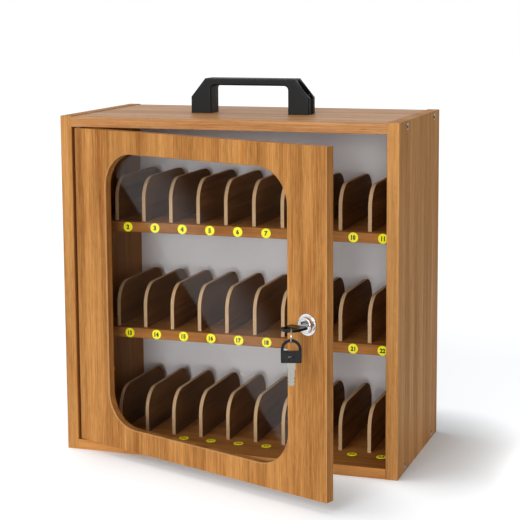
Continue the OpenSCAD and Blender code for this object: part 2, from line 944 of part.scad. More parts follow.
// Places children at the strike screws, pointing into the side panel
module at_strike_screws() {
    for (y = [-1, 1])
        at_strike()
            translate([0, y * (strike_slot_h + strike_end) / 2, 0])
                children();
}

module strike_screw_holes() {
    at_strike_screws()
        translate([0, 0, -eps])
            cylinder(h = strike_screw_l + hole_spare + eps, r = strike_screw_d / 2 + screw_fit);
}

module strike_screws() {
    color(steel)
        at_strike_screws()
            screw(strike_screw_l, strike_screw_d, strike_screw_head_d, strike_screw_head_t);
}

// Outline of a key bow: square foot at the origin, round head along +Y
module bow_outline() {
    difference() {
        union() {
            translate([-bow_w / 2, bow_corner_r])
                square([bow_w, bow_centre - bow_corner_r]);
            translate([bow_corner_r - bow_w / 2, 0])
                square([bow_w - 2 * bow_corner_r, bow_corner_r]);
            for (x = [-1, 1])
                translate([x * (bow_w / 2 - bow_corner_r), bow_corner_r])
                    circle(bow_corner_r);
            translate([0, bow_centre])
                circle(bow_w / 2);
        }
        intersection() {
            translate([0, bow_centre])
                circle(bow_hole_r);
            translate([-bow_w, bow_centre - bow_chord])
                square(2 * bow_w);
        }
    }
}

// The moulded bow of a key, with the pocket that holds the blade's tang
module bow() {
    color(black)
        difference() {
            translate([0, 0, -bow_t / 2])
                linear_extrude(bow_t)
                    bow_outline();
            translate([-tang_w / 2, -eps, -blade_t / 2])
                cube([tang_w, tang_l + eps, blade_t]);
        }
}

// Outline of the metal blade, from its tang in the bow down to the notched, rounded tip
module blade_outline() {
    tip = shoulder_l + blade_l;
    notch = 1.1;
    notch_first = 4.6;
    notch_pitch = 3.8;
    difference() {
        union() {
            translate([-tang_w / 2, 0])
                square([tang_w, tang_l]);
            translate([-shoulder_w / 2, -shoulder_l])
                square([shoulder_w, shoulder_l]);
            translate([-blade_w / 2, blade_w / 2 - tip])
                square([blade_w, blade_l - blade_w / 2 + eps]);
            translate([0, blade_w / 2 - tip])
                circle(blade_w / 2);
        }
        for (x = [-1, 1])
            for (y = [notch_first, notch_first + notch_pitch])
                translate([x * blade_w / 2, y - tip])
                    rotate(45)
                        square(notch * sqrt(2), center = true);
    }
}

module blade() {
    groove_w = 1.4;
    groove_t = 0.4;
    groove_end = 2;
    color(chrome)
        difference() {
            translate([0, 0, -blade_t / 2])
                linear_extrude(blade_t)
                    blade_outline();
            translate([-groove_w / 2, -shoulder_l - blade_l - eps, blade_t / 2 - groove_t])
                cube([groove_w, blade_l - groove_end + eps, groove_t + eps]);
        }
}

// Places a key in the lock, its bow flat and its head outwards
module in_lock() {
    on_door()
        at_lock()
            rotate(180)
                translate([0, key_out, 0])
                    children();
}

// Ring frame: the origin at the centre of the bow's arc, with the ring in its YZ plane
module at_ring() {
    on_door()
        at_lock()
            translate([0, -key_out - bow_centre, 0])
                rotate(ring_yaw)
                    children();
}

// Places a key hanging from the ring, its head up
module on_ring() {
    at_ring()
        translate([0, -rim_mid, -spare_drop])
            rotate([90, 0, 0])
                translate([0, -bow_centre, 0])
                    children();
}

module key_bow() {
    in_lock()
        bow();
}

module key_blade() {
    in_lock()
        blade();
}

module key_ring() {
    color(steel)
        at_ring()
            translate([0, -rim_mid, -ring_drop])
                rotate([0, 90, 0])
                    rotate_extrude()
                        translate([ring_r, 0])
                            circle(ring_wire / 2);
}

module spare_key_bow() {
    on_ring()
        bow();
}

module spare_key_blade() {
    on_ring()
        blade();
}

// Every divider by row and place, as [row, place, name]
DIVIDERS = [for (row = [0 : 2]) for (i = [1 : slot_count - 1])
    [row, i, str("divider_", ROWS[row], "_", i)]];
BOARDS = ["side_left", "side_right", "top_panel", "bottom_panel", "back_panel", "shelf_upper",
          "shelf_lower", "number_discs"];
FITTINGS = ["handle", "handle_screws", "handle_nuts", "side_screws", "back_tacks", "hinge_bushes",
            "strike_plate", "strike_screws"];
DOOR = ["door_panel", "window_pane", "pane_screws", "hinge_pins", "lock_body", "lock_nut",
        "lock_plug", "lock_cam", "cam_screw"];
KEYS = ["key_bow", "key_blade", "key_ring", "spare_key_bow", "spare_key_blade"];

side_left();
side_right();
top_panel();
bottom_panel();
back_panel();
shelf_upper();
shelf_lower();
number_discs();
for (d = DIVIDERS)
    divider(d[0], d[1]);
handle();
handle_screws();
handle_nuts();
side_screws();
back_tacks();
hinge_bushes();
strike_plate();
strike_screws();
door_panel();
window_pane();
pane_screws();
hinge_pins();
lock_body();
lock_nut();
lock_plug();
lock_cam();
cam_screw();
key_bow();
key_blade();
key_ring();
spare_key_bow();
spare_key_blade();
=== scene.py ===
"""Looks for a portable cabinet with numbered slots, a windowed door, a cam lock and a carry handle.

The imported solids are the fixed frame. Each operator dresses one piece or one group of like pieces:
it eases a merged copy of a solid, models a new piece where the solid stands, or gives the solid its
finish. Every size is in metres, in the frame of the solids.
"""

import json
import math

import bmesh
import bpy
from mathutils import Matrix, Vector


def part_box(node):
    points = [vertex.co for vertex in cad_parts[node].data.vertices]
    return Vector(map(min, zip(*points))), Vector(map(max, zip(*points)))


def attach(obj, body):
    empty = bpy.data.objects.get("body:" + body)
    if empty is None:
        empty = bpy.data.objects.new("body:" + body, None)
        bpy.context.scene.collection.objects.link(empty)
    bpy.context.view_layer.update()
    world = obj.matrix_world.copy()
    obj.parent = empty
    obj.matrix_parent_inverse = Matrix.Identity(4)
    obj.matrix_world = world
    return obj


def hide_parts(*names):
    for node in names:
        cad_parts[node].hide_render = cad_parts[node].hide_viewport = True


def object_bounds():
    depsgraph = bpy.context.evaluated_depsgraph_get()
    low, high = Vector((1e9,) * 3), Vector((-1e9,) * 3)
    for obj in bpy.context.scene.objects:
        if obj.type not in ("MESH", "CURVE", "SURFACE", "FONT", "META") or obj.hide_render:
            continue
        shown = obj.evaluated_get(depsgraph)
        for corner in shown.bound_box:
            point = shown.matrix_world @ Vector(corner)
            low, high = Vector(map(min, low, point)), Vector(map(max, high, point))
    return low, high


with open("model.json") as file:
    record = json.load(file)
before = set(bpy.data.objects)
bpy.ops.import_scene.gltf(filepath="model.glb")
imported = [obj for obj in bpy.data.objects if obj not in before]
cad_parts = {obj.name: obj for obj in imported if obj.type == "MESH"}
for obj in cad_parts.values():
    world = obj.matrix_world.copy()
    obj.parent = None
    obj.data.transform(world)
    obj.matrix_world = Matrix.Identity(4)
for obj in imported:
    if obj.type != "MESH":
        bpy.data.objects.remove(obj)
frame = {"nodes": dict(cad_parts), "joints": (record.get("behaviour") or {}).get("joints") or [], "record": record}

bl_info = {
    "name": "Slot cabinet looks",
    "version": (1, 0, 0),
    "blender": (4, 5, 0),
    "location": "3D View > Sidebar > Cabinet",
    "description": "Dresses the solids of a slot cabinet with veneer, metal, plastic and a clear pane",
    "category": "Object",
}

CAD_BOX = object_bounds()
BODY_OF = {
    node: body
    for body, members in frame["record"]["behaviour"]["bodies"].items()
    for node in members
}
JOINT = {joint["name"]: joint for joint in frame["joints"]}
ROWS = ("upper", "middle", "lower")
DIVIDERS = [f"divider_{row}_{place}" for row in ROWS for place in range(1, 11)]
SLOTS_IN_ROW = 11
UP = Vector((0, 0, 1))
# Direction out of the door's front, and along the door towards its free edge, as it stands
DOOR_OUT = Vector(JOINT["key_pull"]["axis"])
DOOR_ALONG = UP.cross(DOOR_OUT)
# Points closer than this are one point, and faces flatter than this are one face
SAME_POINT = 1e-6
FLAT = math.radians(0.5)
# Faces that meet at more than this show a corner
SMOOTH = math.radians(32)
# Edges of a board shorter than this stay sharp, since their rounding would run into the next one
SHORT_EDGE = 0.0008
# Plated metals: their colour among the finishes, their roughness and how deep they are brushed
METALS = {
    "zinc_plating": ("zinc", 0.24, 0.00002),
    "polished_chrome": ("chrome", 0.06, 0.0),
    "nickel_plating": ("nickel", 0.14, 0.00001),
    "black_oxide": ("oxide", 0.45, 0.0),
}


def length_property(name, description, default):
    """A length in metres."""
    return bpy.props.FloatProperty(name=name, description=description, default=default, min=0.0,
                                   precision=5, unit="LENGTH", subtype="DISTANCE")


def share_property(name, description, default):
    """A share between none and all."""
    return bpy.props.FloatProperty(name=name, description=description, default=default, min=0.0,
                                   max=1.0, subtype="FACTOR")


def level_property(name, description, default):
    """A level from none upwards."""
    return bpy.props.FloatProperty(name=name, description=description, default=default, min=0.0)


def angle_property(name, description, degrees):
    """An angle, with its default in degrees."""
    return bpy.props.FloatProperty(name=name, description=description,
                                   default=math.radians(degrees), min=0.0, subtype="ANGLE")


def direction_property(name, description, default):
    """A direction in space, of any length."""
    return bpy.props.FloatVectorProperty(name=name, description=description, default=default,
                                         subtype="DIRECTION")


def colour_property(name, description, default):
    """A colour as it shows on a screen."""
    return bpy.props.FloatVectorProperty(name=name, description=description, default=default,
                                         size=3, min=0.0, max=1.0, subtype="COLOR_GAMMA")


class CabinetFinish(bpy.types.PropertyGroup):
    """Colours, gloss, glare and grain of the finishes."""

    door_light: colour_property("Door, light", "Light streaks of the door", (0.935, 0.675, 0.385))
    door_dark: colour_property("Door, dark", "Dark streaks of the door", (0.58, 0.35, 0.15))
    side_light: colour_property("Sides, light", "Light streaks of the sides", (0.92, 0.68, 0.41))
    side_dark: colour_property("Sides, dark", "Dark streaks of the sides", (0.69, 0.46, 0.24))
    # The top's colours are lighter and paler than the sides': painted light from above and a painted sheen
    top_light: colour_property("Top, light", "Light streaks of the top", (0.95, 0.72, 0.49))
    top_dark: colour_property("Top, dark", "Dark streaks of the top", (0.72, 0.49, 0.28))
    floor_light: colour_property("Bottom, light", "Light streaks of the bottom", (0.94, 0.68, 0.40))
    floor_dark: colour_property("Bottom, dark", "Dark streaks of the bottom", (0.70, 0.45, 0.22))
    shelf_light: colour_property("Shelves, light", "Light streaks of the shelves", (0.78, 0.53, 0.28))
    shelf_dark: colour_property("Shelves, dark", "Dark streaks of the shelves", (0.50, 0.31, 0.15))
    # The dividers' faces are coloured darker than the other boards: painted shade between the dividers
    divider_light: colour_property("Dividers, light", "Light streaks of the dividers", (0.58, 0.38, 0.19))
    divider_dark: colour_property("Dividers, dark", "Dark streaks of the dividers", (0.34, 0.20, 0.09))
    raw_edge: colour_property("Raw edge", "Sawn edges of the dividers", (0.84, 0.70, 0.54))
    # Pale line on the door's rounded edges: partly paler bare wood, partly a painted highlight
    band_edge: colour_property("Edge line", "Eased edges of the veneered boards", (0.87, 0.68, 0.46))
    board_grey: colour_property("Back panel", "Laminate of the back panel", (0.96, 0.955, 0.965))
    disc: colour_property("Disc", "Number discs", (0.99, 0.96, 0.12))
    # Painted glow: the discs give off a little light, to look brighter than the lamps make them
    disc_glow: share_property("Disc glow", "Light that the fluorescent yellow of the discs adds", 0.12)
    ink: colour_property("Numerals", "Numerals on the discs", (0.05, 0.05, 0.04))
    plastic: colour_property("Handle", "Moulded plastic of the handle", (0.085, 0.085, 0.088))
    bow: colour_property("Key bow", "Glossy plastic of the key bows", (0.06, 0.06, 0.065))
    # The bushes are darker than natural nylon: painted shade where they sit in the hinge gap
    nylon: colour_property("Bushes", "Nylon of the hinge bushes", (0.40, 0.33, 0.27))
    chrome: colour_property("Chrome", "Polished plating of the lock", (0.90, 0.90, 0.91))
    nickel: colour_property("Nickel", "Plating of the blades and the ring", (0.68, 0.66, 0.63))
    oxide: colour_property("Black oxide", "Blackened screws of the handle", (0.10, 0.10, 0.105))
    zinc: colour_property("Zinc", "Plating of the screws and brackets", (0.78, 0.78, 0.79))
    board_gloss: share_property("Board gloss", "How strongly sides, bottom and shelves mirror", 0.05)
    top_gloss: share_property("Top gloss", "How strongly the top mirrors", 0.12)
    door_gloss: share_property("Door gloss", "How strongly the door mirrors", 0.08)
    # Painted shade: the boards' colour is darkened on the faces that look into the cabinet
    inside_shade: share_property("Inside shade", "Brightness that the boards keep on inner faces", 0.68)
    glare: share_property("Glare", "How strongly the glare on the pane mirrors", 0.36)
    glare_slant: level_property("Glare slant", "How far the glare leans, as a slope", 0.9)
    glare_start: length_property("Glare start", "Where the glare starts, along the door", 0.22)
    glare_end: length_property("Glare end", "Where it starts to fade, along the door", 0.285)
    streak_width: length_property("Streak width", "Width of a streak of the veneer", 0.006)
    streak_length: length_property("Streak length", "Length of a streak of the veneer", 0.24)


class CabinetPieces(bpy.types.PropertyGroup):
    """Sizes that the looks add to the solids."""

    board_ease: length_property("Board edges", "Rounding of the edges of the boards", 0.0005)
    divider_ease: length_property("Divider edges", "Rounding of the edges of the dividers", 0.0003)
    metal_ease: length_property("Metal edges", "Rounding of the edges of the metal pieces", 0.00025)
    bow_ease: length_property("Bow edges", "Rounding of the edges of the key bows", 0.00045)
    bow_rim: length_property("Bow rim", "Width of the raised rim round a key bow", 0.00095)
    bow_sink: length_property("Bow field", "Depth of the field inside that rim", 0.0003)
    numeral_height: length_property("Numeral height", "Height of the numerals", 0.0056)
    numeral_weight: length_property("Numeral weight", "Extra width of their strokes", 0.00030)
    floor_weight: length_property("Floor numerals", "The same for the numerals that lie flat", 0.00005)
    numeral_proud: length_property("Numeral ink", "How far the numerals stand off the disc", 0.00008)
    numeral_narrow: share_property("Narrow figures", "Width of figures that stand in twos", 0.86)
    numeral_space: level_property("Figure spacing", "Distance between such figures", 1.06)
    foot_width: length_property("Handle foot", "Width of each foot of the handle", 0.0255)
    grip_thick: length_property("Handle grip", "Thickness of the grip", 0.0082)
    slope_width: length_property("Shoulder width", "Width of the slope at each shoulder", 0.0178)
    slope_height: length_property("Shoulder height", "Height of the slope at each shoulder", 0.022)
    handle_inner: length_property("Grip corners", "Radius inside the corners of the grip", 0.005)
    handle_ease: length_property("Handle edges", "Rounding of the edges of the handle", 0.0021)
    recess_wide: length_property("Screw recess", "Diameter of the handle's screw recesses", 0.018)
    recess_seat: length_property("Recess seat", "Height of their seats above the top panel", 0.017)
    recess_in: length_property("Recess place", "From each end of the handle to its screw", 0.0078)
    recess_hole: length_property("Screw hole", "Diameter of the hole below each recess", 0.0061)
    coil_wire: length_property("Ring wire", "Thickness of one coil of the key ring", 0.0008)


class CabinetStage(bpy.types.PropertyGroup):
    """Floor, light and camera."""

    floor_colour: colour_property("Floor", "Colour of the floor", (0.95, 0.97, 0.985))
    floor_size: length_property("Floor size", "Width of the floor", 24.0)
    floor_lift: share_property("Floor lift", "White that the floor adds in the camera's view", 0.60)
    shadow_reach: length_property("Shadow reach", "How far the cabinet darkens that white", 0.11)
    shadow_depth: level_property("Shadow depth", "Power that deepens this shadow", 3.0)
    shadow_from: direction_property(
        "Shadow direction", "Where the light of that white comes from", (-1.0, -0.5, 0.45))
    room_level: level_property("Room light", "Level of the light from all round", 0.36)
    key_level: level_property("Key light", "Level of the distant lamp at the front left", 0.85)
    key_from: direction_property("Key direction", "Where this lamp shines from", (-0.7, -2.4, 1.45))
    key_spread: angle_property("Key softness", "Angle that this lamp takes up in the sky", 30)
    fill_level: level_property("Fill light", "Level of the distant low lamp at the front", 1.25)
    fill_from: direction_property("Fill direction", "Where this lamp shines from", (0.2, -1.0, 0.09))
    fill_spread: angle_property("Fill softness", "Angle that this lamp takes up in the sky", 18)
    card_colour: colour_property("Card", "Colour of the dark card", (0.12, 0.11, 0.10))
    card_place: bpy.props.FloatVectorProperty(
        name="Card place", description="X, nearest Y, farthest Y and top of the dark card",
        default=(0.62, -0.9, 1.9, 0.62), size=4, unit="LENGTH")
    camera_place: bpy.props.FloatVectorProperty(
        name="Camera place", description="Place of the camera", default=(0.58507, -1.67246, 0.53723),
        unit="LENGTH", subtype="XYZ", precision=5)
    camera_turn: bpy.props.FloatVectorProperty(
        name="Camera turn", description="Turn to the left, tilt up and roll of the camera",
        default=(0.3321, -0.1358, -0.0066), unit="ROTATION", precision=4)
    camera_focal: level_property("Focal length", "Focal length, in pixels of the picture", 1495.69)
    picture_width: bpy.props.IntProperty(
        name="Picture width", description="Width and height of the picture in pixels", default=520)
    picture_centre: level_property("Optical centre", "From the picture's top to the lens axis", 200.0)


def settings(name):
    """One of the groups of settings."""
    return getattr(bpy.context.scene, f"cabinet_{name}")


def take(piece):
    """Makes a piece the active object and the only one that is selected."""
    if bpy.context.mode != "OBJECT":
        bpy.ops.object.mode_set(mode="OBJECT")
    bpy.ops.object.select_all(action="DESELECT")
    bpy.context.view_layer.objects.active = piece
    piece.select_set(True)
    return piece


def start(name):
    """Names the object that an operator has just added and takes it."""
    piece = bpy.context.object
    piece.name = name
    piece.data.name = name
    return take(piece)


def apply_modifiers(piece):
    """Applies every modifier of a piece, in order."""
    take(piece)
    for modifier in list(piece.modifiers):
        bpy.ops.object.modifier_apply(modifier=modifier.name)


def smooth(piece):
    """Shades a piece smooth, apart from its real corners, and keeps its flat faces flat."""
    take(piece)
    bpy.ops.object.shade_smooth_by_angle(angle=SMOOTH)
    weighted = piece.modifiers.new("flat_faces", "WEIGHTED_NORMAL")
    weighted.weight = 100
    weighted.keep_sharp = True
    apply_modifiers(piece)


def place(piece, matrix):
    """Puts a piece in its place through its mesh, so that its object stays at the origin."""
    piece.data.transform(matrix)
    if matrix.determinant() < 0:
        piece.data.flip_normals()


def select_where(piece, kind, test):
    """In edit mode, selects the edges (EDGE) or the faces (FACE) that pass a test."""
    bpy.ops.mesh.select_mode(type=kind)
    bpy.ops.mesh.select_all(action="DESELECT")
    mesh = bmesh.from_edit_mesh(piece.data)
    for part in mesh.edges if kind == "EDGE" else mesh.faces:
        part.select_set(test(part))
    bmesh.update_edit_mesh(piece.data)


def is_corner(edge):
    """Whether two faces meet at a real corner along an edge."""
    return edge.is_manifold and edge.calc_face_angle() > SMOOTH


def merged_copy(node, name):
    """A copy of a solid's mesh with its loose triangles joined into whole faces."""
    piece = bpy.data.objects.new(name, frame["nodes"][node].data.copy())
    bpy.context.scene.collection.objects.link(piece)
    take(piece)
    bpy.ops.mesh.customdata_custom_splitnormals_clear()
    bpy.ops.object.mode_set(mode="EDIT")
    bpy.ops.mesh.select_all(action="SELECT")
    bpy.ops.mesh.remove_doubles(threshold=SAME_POINT)
    bpy.ops.mesh.dissolve_limited(angle_limit=FLAT)
    bpy.ops.object.mode_set(mode="OBJECT")
    return piece


def eased(node, ease, shortest=0.0):
    """A merged copy of a solid whose corners are rounded over, apart from edges under a length."""
    piece = merged_copy(node, f"{node}_eased")
    bpy.ops.object.mode_set(mode="EDIT")
    select_where(piece, "EDGE", lambda edge: is_corner(edge) and edge.calc_length() > shortest)
    bpy.ops.mesh.bevel(offset=ease, segments=2, affect="EDGES", clamp_overlap=True)
    smooth(piece)
    return piece


def dress(piece, node, material):
    """A piece stands for a solid: it hides it, rides on its body and takes its slot."""
    piece.data.materials.clear()
    piece.data.materials.append(material)
    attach(piece, BODY_OF[node])
    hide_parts(node)


def coat(node, material):
    """Gives a carried-over solid its finish."""
    for slot in frame["nodes"][node].material_slots:
        slot.material = material


def paint(colour, level=1.0):
    """A colour as it shows on a screen, in the linear values that shaders take."""
    linear = [c / 12.92 if c <= 0.04045 else ((c + 0.055) / 1.055) ** 2.4 for c in colour]
    return (*[level * c for c in linear], 1.0)


def give(tree, socket, value):
    """Links an input to another node's socket, or sets it to a plain value."""
    if isinstance(value, bpy.types.NodeSocket):
        tree.links.new(value, socket)
    else:
        socket.default_value = value


def put(tree, kind, inputs, **properties):
    """Adds a shader node with its inputs given."""
    made = tree.nodes.new(kind)
    for key, value in properties.items():
        setattr(made, key, value)
    for key, value in inputs.items():
        give(tree, made.inputs[key], value)
    return made


def mix(tree, share, first, second, mode="MIX"):
    """Mixes two colours by a share."""
    made = put(tree, "ShaderNodeMix", {0: share, 6: first, 7: second}, data_type="RGBA",
               blend_type=mode)
    return made.outputs[2]


def sums(tree, operation, first, second=0.0):
    """One step of arithmetic on values."""
    return put(tree, "ShaderNodeMath", {0: first, 1: second}, operation=operation).outputs[0]


def vectors(tree, operation, first, second):
    """One step of arithmetic on vectors."""
    made = put(tree, "ShaderNodeVectorMath", {0: first, 1: second}, operation=operation)
    return made.outputs["Value" if operation in ("DOT_PRODUCT", "LENGTH") else "Vector"]


def scaled(tree, vector, factor):
    """A vector made longer by a factor."""
    return put(tree, "ShaderNodeVectorMath", {0: vector, "Scale": factor},
               operation="SCALE").outputs["Vector"]


def spread(tree, value, low, high, to_low=0.0, to_high=1.0):
    """Spreads the part of a value between two levels over a new range."""
    return put(tree, "ShaderNodeMapRange",
               {"Value": value, "From Min": low, "From Max": high, "To Min": to_low,
                "To Max": to_high}).outputs["Result"]


def between(tree, share, low, high):
    """The value that lies at a share of the way between two others."""
    return spread(tree, share, 0.0, 1.0, low, high)


def noise(tree, vector, scale=1.0, detail=2.0, roughness=0.5, output="Fac"):
    """A noise pattern of about one blotch to a unit of the vector."""
    return put(tree, "ShaderNodeTexNoise",
               {"Vector": vector, "Scale": scale, "Detail": detail,
                "Roughness": roughness}).outputs[output]


def built_once(build):
    """Builds a node group at its first use, under the function's name, and then hands it out."""
    def get():
        return bpy.data.node_groups.get(build.__name__) or build(build.__name__)
    return get


def new_group(name, inputs, outputs):
    """A shader node group with named sockets. Returns it with its two end nodes."""
    group = bpy.data.node_groups.new(name, "ShaderNodeTree")
    for label, kind, default in inputs:
        socket = group.interface.new_socket(name=label, in_out="INPUT", socket_type=kind)
        if default is not None:
            socket.default_value = default
    for label, kind in outputs:
        group.interface.new_socket(name=label, in_out="OUTPUT", socket_type=kind)
    return group, group.nodes.new("NodeGroupInput"), group.nodes.new("NodeGroupOutput")


@built_once
def veneer_grain(name):
    """Node group: streaks, fibres and pores of veneer whose grain runs along Z."""
    group, given, made = new_group(
        name,
        [("Vector", "NodeSocketVector", None), ("Streak", "NodeSocketVector", (0.009, 0.009, 0.42)),
         ("Sway", "NodeSocketFloat", 0.006)],
        [(label, "NodeSocketFloat") for label in ("Tone", "Red", "Fibre", "Pore", "Height")])
    drift = noise(group, vectors(group, "MULTIPLY", given.outputs["Vector"], (5.0, 5.0, 3.2)),
                  detail=1.0, output="Color")
    sway = scaled(group, vectors(group, "SUBTRACT", drift, (0.5, 0.5, 0.5)), given.outputs["Sway"])
    at = vectors(group, "ADD", given.outputs["Vector"], sway)
    streak = vectors(group, "DIVIDE", at, given.outputs["Streak"])
    # Four layers make the tone, from the broad figure to short flecks, and their parts add up to 1
    broad = noise(group, vectors(group, "MULTIPLY", streak, (0.25, 0.25, 0.6)), detail=3.0)
    medium = noise(group, streak, detail=3.0, roughness=0.6)
    fine = noise(group, vectors(group, "MULTIPLY", streak, (4.5, 4.5, 3.5)), detail=3.0)
    fleck = noise(group, vectors(group, "DIVIDE", at, (0.0019, 0.0019, 0.016)), detail=3.0)
    tone = spread(group, broad, 0.38, 0.62, 0.0, 0.36)
    for layer, part in ((medium, 0.24), (fine, 0.22), (fleck, 0.18)):
        tone = sums(group, "ADD", tone, spread(group, layer, 0.36, 0.64, 0.0, part))
    red = noise(group, vectors(group, "MULTIPLY", streak, (0.9, 0.9, 1.6)), detail=2.0)
    red = sums(group, "MULTIPLY", spread(group, red, 0.52, 0.68), spread(group, fine, 0.62, 0.40))
    fibre = noise(group, vectors(group, "DIVIDE", at, (0.0009, 0.0009, 0.045)), detail=2.0)
    fibre = spread(group, fibre, 0.3, 0.7)
    pore = noise(group, vectors(group, "DIVIDE", at, (0.0006, 0.0006, 0.011)), detail=1.0)
    pore = sums(group, "MULTIPLY", spread(group, pore, 0.60, 0.70),
                spread(group, medium, 0.62, 0.42))
    height = sums(group, "SUBTRACT", fibre, pore)
    for socket, value in zip(made.inputs, (tone, red, fibre, pore, height)):
        group.links.new(value, socket)
    return group


@built_once
def within_box(name):
    """Node group: a mask that is 1 between two corners and 0 elsewhere."""
    group, given, made = new_group(
        name,
        [("Vector", "NodeSocketVector", None), ("Low", "NodeSocketVector", None),
         ("High", "NodeSocketVector", None)],
        [("Mask", "NodeSocketFloat")])
    above = vectors(group, "SUBTRACT", given.outputs["Vector"], given.outputs["Low"])
    below = vectors(group, "SUBTRACT", given.outputs["High"], given.outputs["Vector"])
    least = put(group, "ShaderNodeSeparateXYZ", {0: vectors(group, "MINIMUM", above, below)})
    least = sums(group, "MINIMUM", sums(group, "MINIMUM", least.outputs[0], least.outputs[1]),
                 least.outputs[2])
    group.links.new(sums(group, "GREATER_THAN", least, 0.0), made.inputs["Mask"])
    return group


@built_once
def handling_marks(name):
    """Node group: cloudy smears and faint fine scratches, as left by hands and cloths."""
    group, given, made = new_group(
        name,
        [("Vector", "NodeSocketVector", None), ("Cloud Size", "NodeSocketFloat", 0.02),
         ("Scratch Size", "NodeSocketFloat", 0.0006)],
        [("Smear", "NodeSocketFloat"), ("Scratch", "NodeSocketFloat")])
    clouds, scratches = (
        scaled(group, given.outputs["Vector"], sums(group, "DIVIDE", 1.0, given.outputs[size]))
        for size in ("Cloud Size", "Scratch Size"))
    smear = spread(group, noise(group, clouds, detail=4.0, roughness=0.6), 0.35, 0.7)
    lines = vectors(group, "MULTIPLY", scratches, (1.0, 0.06, 0.4))
    scratch = spread(group, noise(group, lines, detail=1.0), 0.55, 0.75)
    group.links.new(smear, made.inputs["Smear"])
    group.links.new(scratch, made.inputs["Scratch"])
    return group


def use_group(tree, group, inputs):
    """Places a node group in a tree and returns its outputs."""
    return put(tree, "ShaderNodeGroup", inputs, node_tree=group).outputs


def new_material(name):
    """A material with its node tree, its Principled shader and its object coordinates."""
    material = bpy.data.materials.new(name)
    material.use_nodes = True
    tree = material.node_tree
    shader = tree.nodes["Principled BSDF"]
    point = tree.nodes.new("ShaderNodeTexCoord")
    return material, tree, shader, point.outputs


def feed(tree, shader, **inputs):
    """Gives a shader its inputs, with spaces for the underscores of their names."""
    for key, value in inputs.items():
        give(tree, shader.inputs[key.replace("_", " ")], value)


def bump(tree, height, depth, strength=1.0):
    """The normal of a surface with a height pattern of a depth in metres."""
    return put(tree, "ShaderNodeBump", {"Height": height, "Distance": depth,
                                        "Strength": strength}).outputs["Normal"]


def grain_on(tree, point, axis, offset):
    """The veneer's grain along an axis, moved by an offset so that no two boards are alike."""
    finish = settings("finish")
    turn = {"X": (0.0, math.pi / 2, 0.0), "Y": (math.pi / 2, 0.0, 0.0), "Z": (0.0, 0.0, 0.0)}[axis]
    at = put(tree, "ShaderNodeMapping", {"Vector": point["Object"], "Location": offset,
                                         "Rotation": turn}).outputs["Vector"]
    streak = (finish.streak_width, finish.streak_width, finish.streak_length)
    return use_group(tree, veneer_grain(), {"Vector": at, "Streak": streak})


def marks_on(tree, point, cloud, scratch):
    """Handling marks with smears and scratches of these sizes."""
    return use_group(tree, handling_marks(), {"Vector": point["Object"], "Cloud Size": cloud,
                                              "Scratch Size": scratch})


def speckle(tree, point, size, **looks):
    """A noise pattern with blotches of about this size."""
    return noise(tree, vectors(tree, "DIVIDE", point["Object"], (size,) * 3), **looks)


def tinted(tree, share, colour, level):
    """A colour that turns darker or lighter, to a level, as a share grows."""
    return mix(tree, share, paint(colour), paint(colour, level))


def veneer_colour(tree, grain, light, dark):
    """The colour of veneer from its grain: streaks, reddish streaks, fibres and pores."""
    colour = mix(tree, grain["Tone"], paint(dark), paint(light))
    reddish = mix(tree, 1.0, colour, (0.86, 0.66, 0.50, 1.0), mode="MULTIPLY")
    colour = mix(tree, sums(tree, "MULTIPLY", grain["Red"], 0.7), colour, reddish)
    colour = mix(tree, between(tree, grain["Fibre"], 0.22, 0.0), colour, paint(dark, 0.62))
    return mix(tree, sums(tree, "MULTIPLY", grain["Pore"], 0.35), colour, paint(dark, 0.30))


def inside_mask(tree, point):
    """A mask of the faces that look into the cabinet, where shade is painted; it starts a lip behind its front."""
    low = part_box("side_left")[1]
    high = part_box("side_right")[0]
    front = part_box("top_panel")[0].y
    skin = 0.0004
    lip = 0.0016
    lowest = (low.x - skin, front + lip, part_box("bottom_panel")[1].z - skin)
    highest = (high.x + skin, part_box("back_panel")[0].y + skin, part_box("top_panel")[0].z + skin)
    return use_group(tree, within_box(),
                     {"Vector": point["Object"], "Low": lowest, "High": highest})["Mask"]


def veneer(name, light, dark, axis, offset, gloss, shaded=True):
    """Satin veneer on board, with painted shade on the faces that look into the cabinet."""
    material, tree, shader, point = new_material(name)
    grain = grain_on(tree, point, axis, offset)
    colour = veneer_colour(tree, grain, light, dark)
    if shaded:
        # Painted shade on the inner faces: the light that wood throws on wood is warm, so this shade is warm too
        shade = settings("finish").inside_shade
        warm = (shade, shade * 0.88, shade * 0.66, 1.0)
        painted_shade_colour = mix(tree, 1.0, colour, warm, mode="MULTIPLY")
        colour = mix(tree, inside_mask(tree, point), colour, painted_shade_colour)
    feed(tree, shader, Base_Color=colour, Specular_IOR_Level=gloss,
         Roughness=between(tree, grain["Tone"], 0.62 - gloss, 0.50 - gloss),
         Normal=bump(tree, grain["Height"], 0.00008, 0.6))
    return material


def door_veneer():
    """The door's veneer: upright grain, with a plain band on its edges and a pale line between, partly paler bare
    wood and partly a painted highlight.
    """
    finish = settings("finish")
    material, tree, shader, point = new_material("door_veneer")
    grain = grain_on(tree, point, "Z", (0.37, 0.11, 0.05))
    colour = veneer_colour(tree, grain, finish.door_light, finish.door_dark)
    facing = sums(tree, "ABSOLUTE", vectors(tree, "DOT_PRODUCT", point["Normal"], DOOR_OUT))
    band = mix(tree, 1.0, colour, (0.78, 0.72, 0.66, 1.0), mode="MULTIPLY")
    edge_on, face_on = 0.25, 0.96
    colour = mix(tree, sums(tree, "LESS_THAN", facing, edge_on), colour, band)
    # The rounded edge between band and face: partly paler bare wood, partly a painted highlight
    slant = sums(tree, "MULTIPLY", sums(tree, "GREATER_THAN", facing, edge_on),
                 sums(tree, "LESS_THAN", facing, face_on))
    colour = mix(tree, sums(tree, "MULTIPLY", slant, 0.4), colour, paint(finish.band_edge))
    feed(tree, shader, Base_Color=colour, Specular_IOR_Level=finish.door_gloss,
         Roughness=between(tree, grain["Tone"], 0.50, 0.40),
         Normal=bump(tree, grain["Height"], 0.00008, 0.6))
    return material


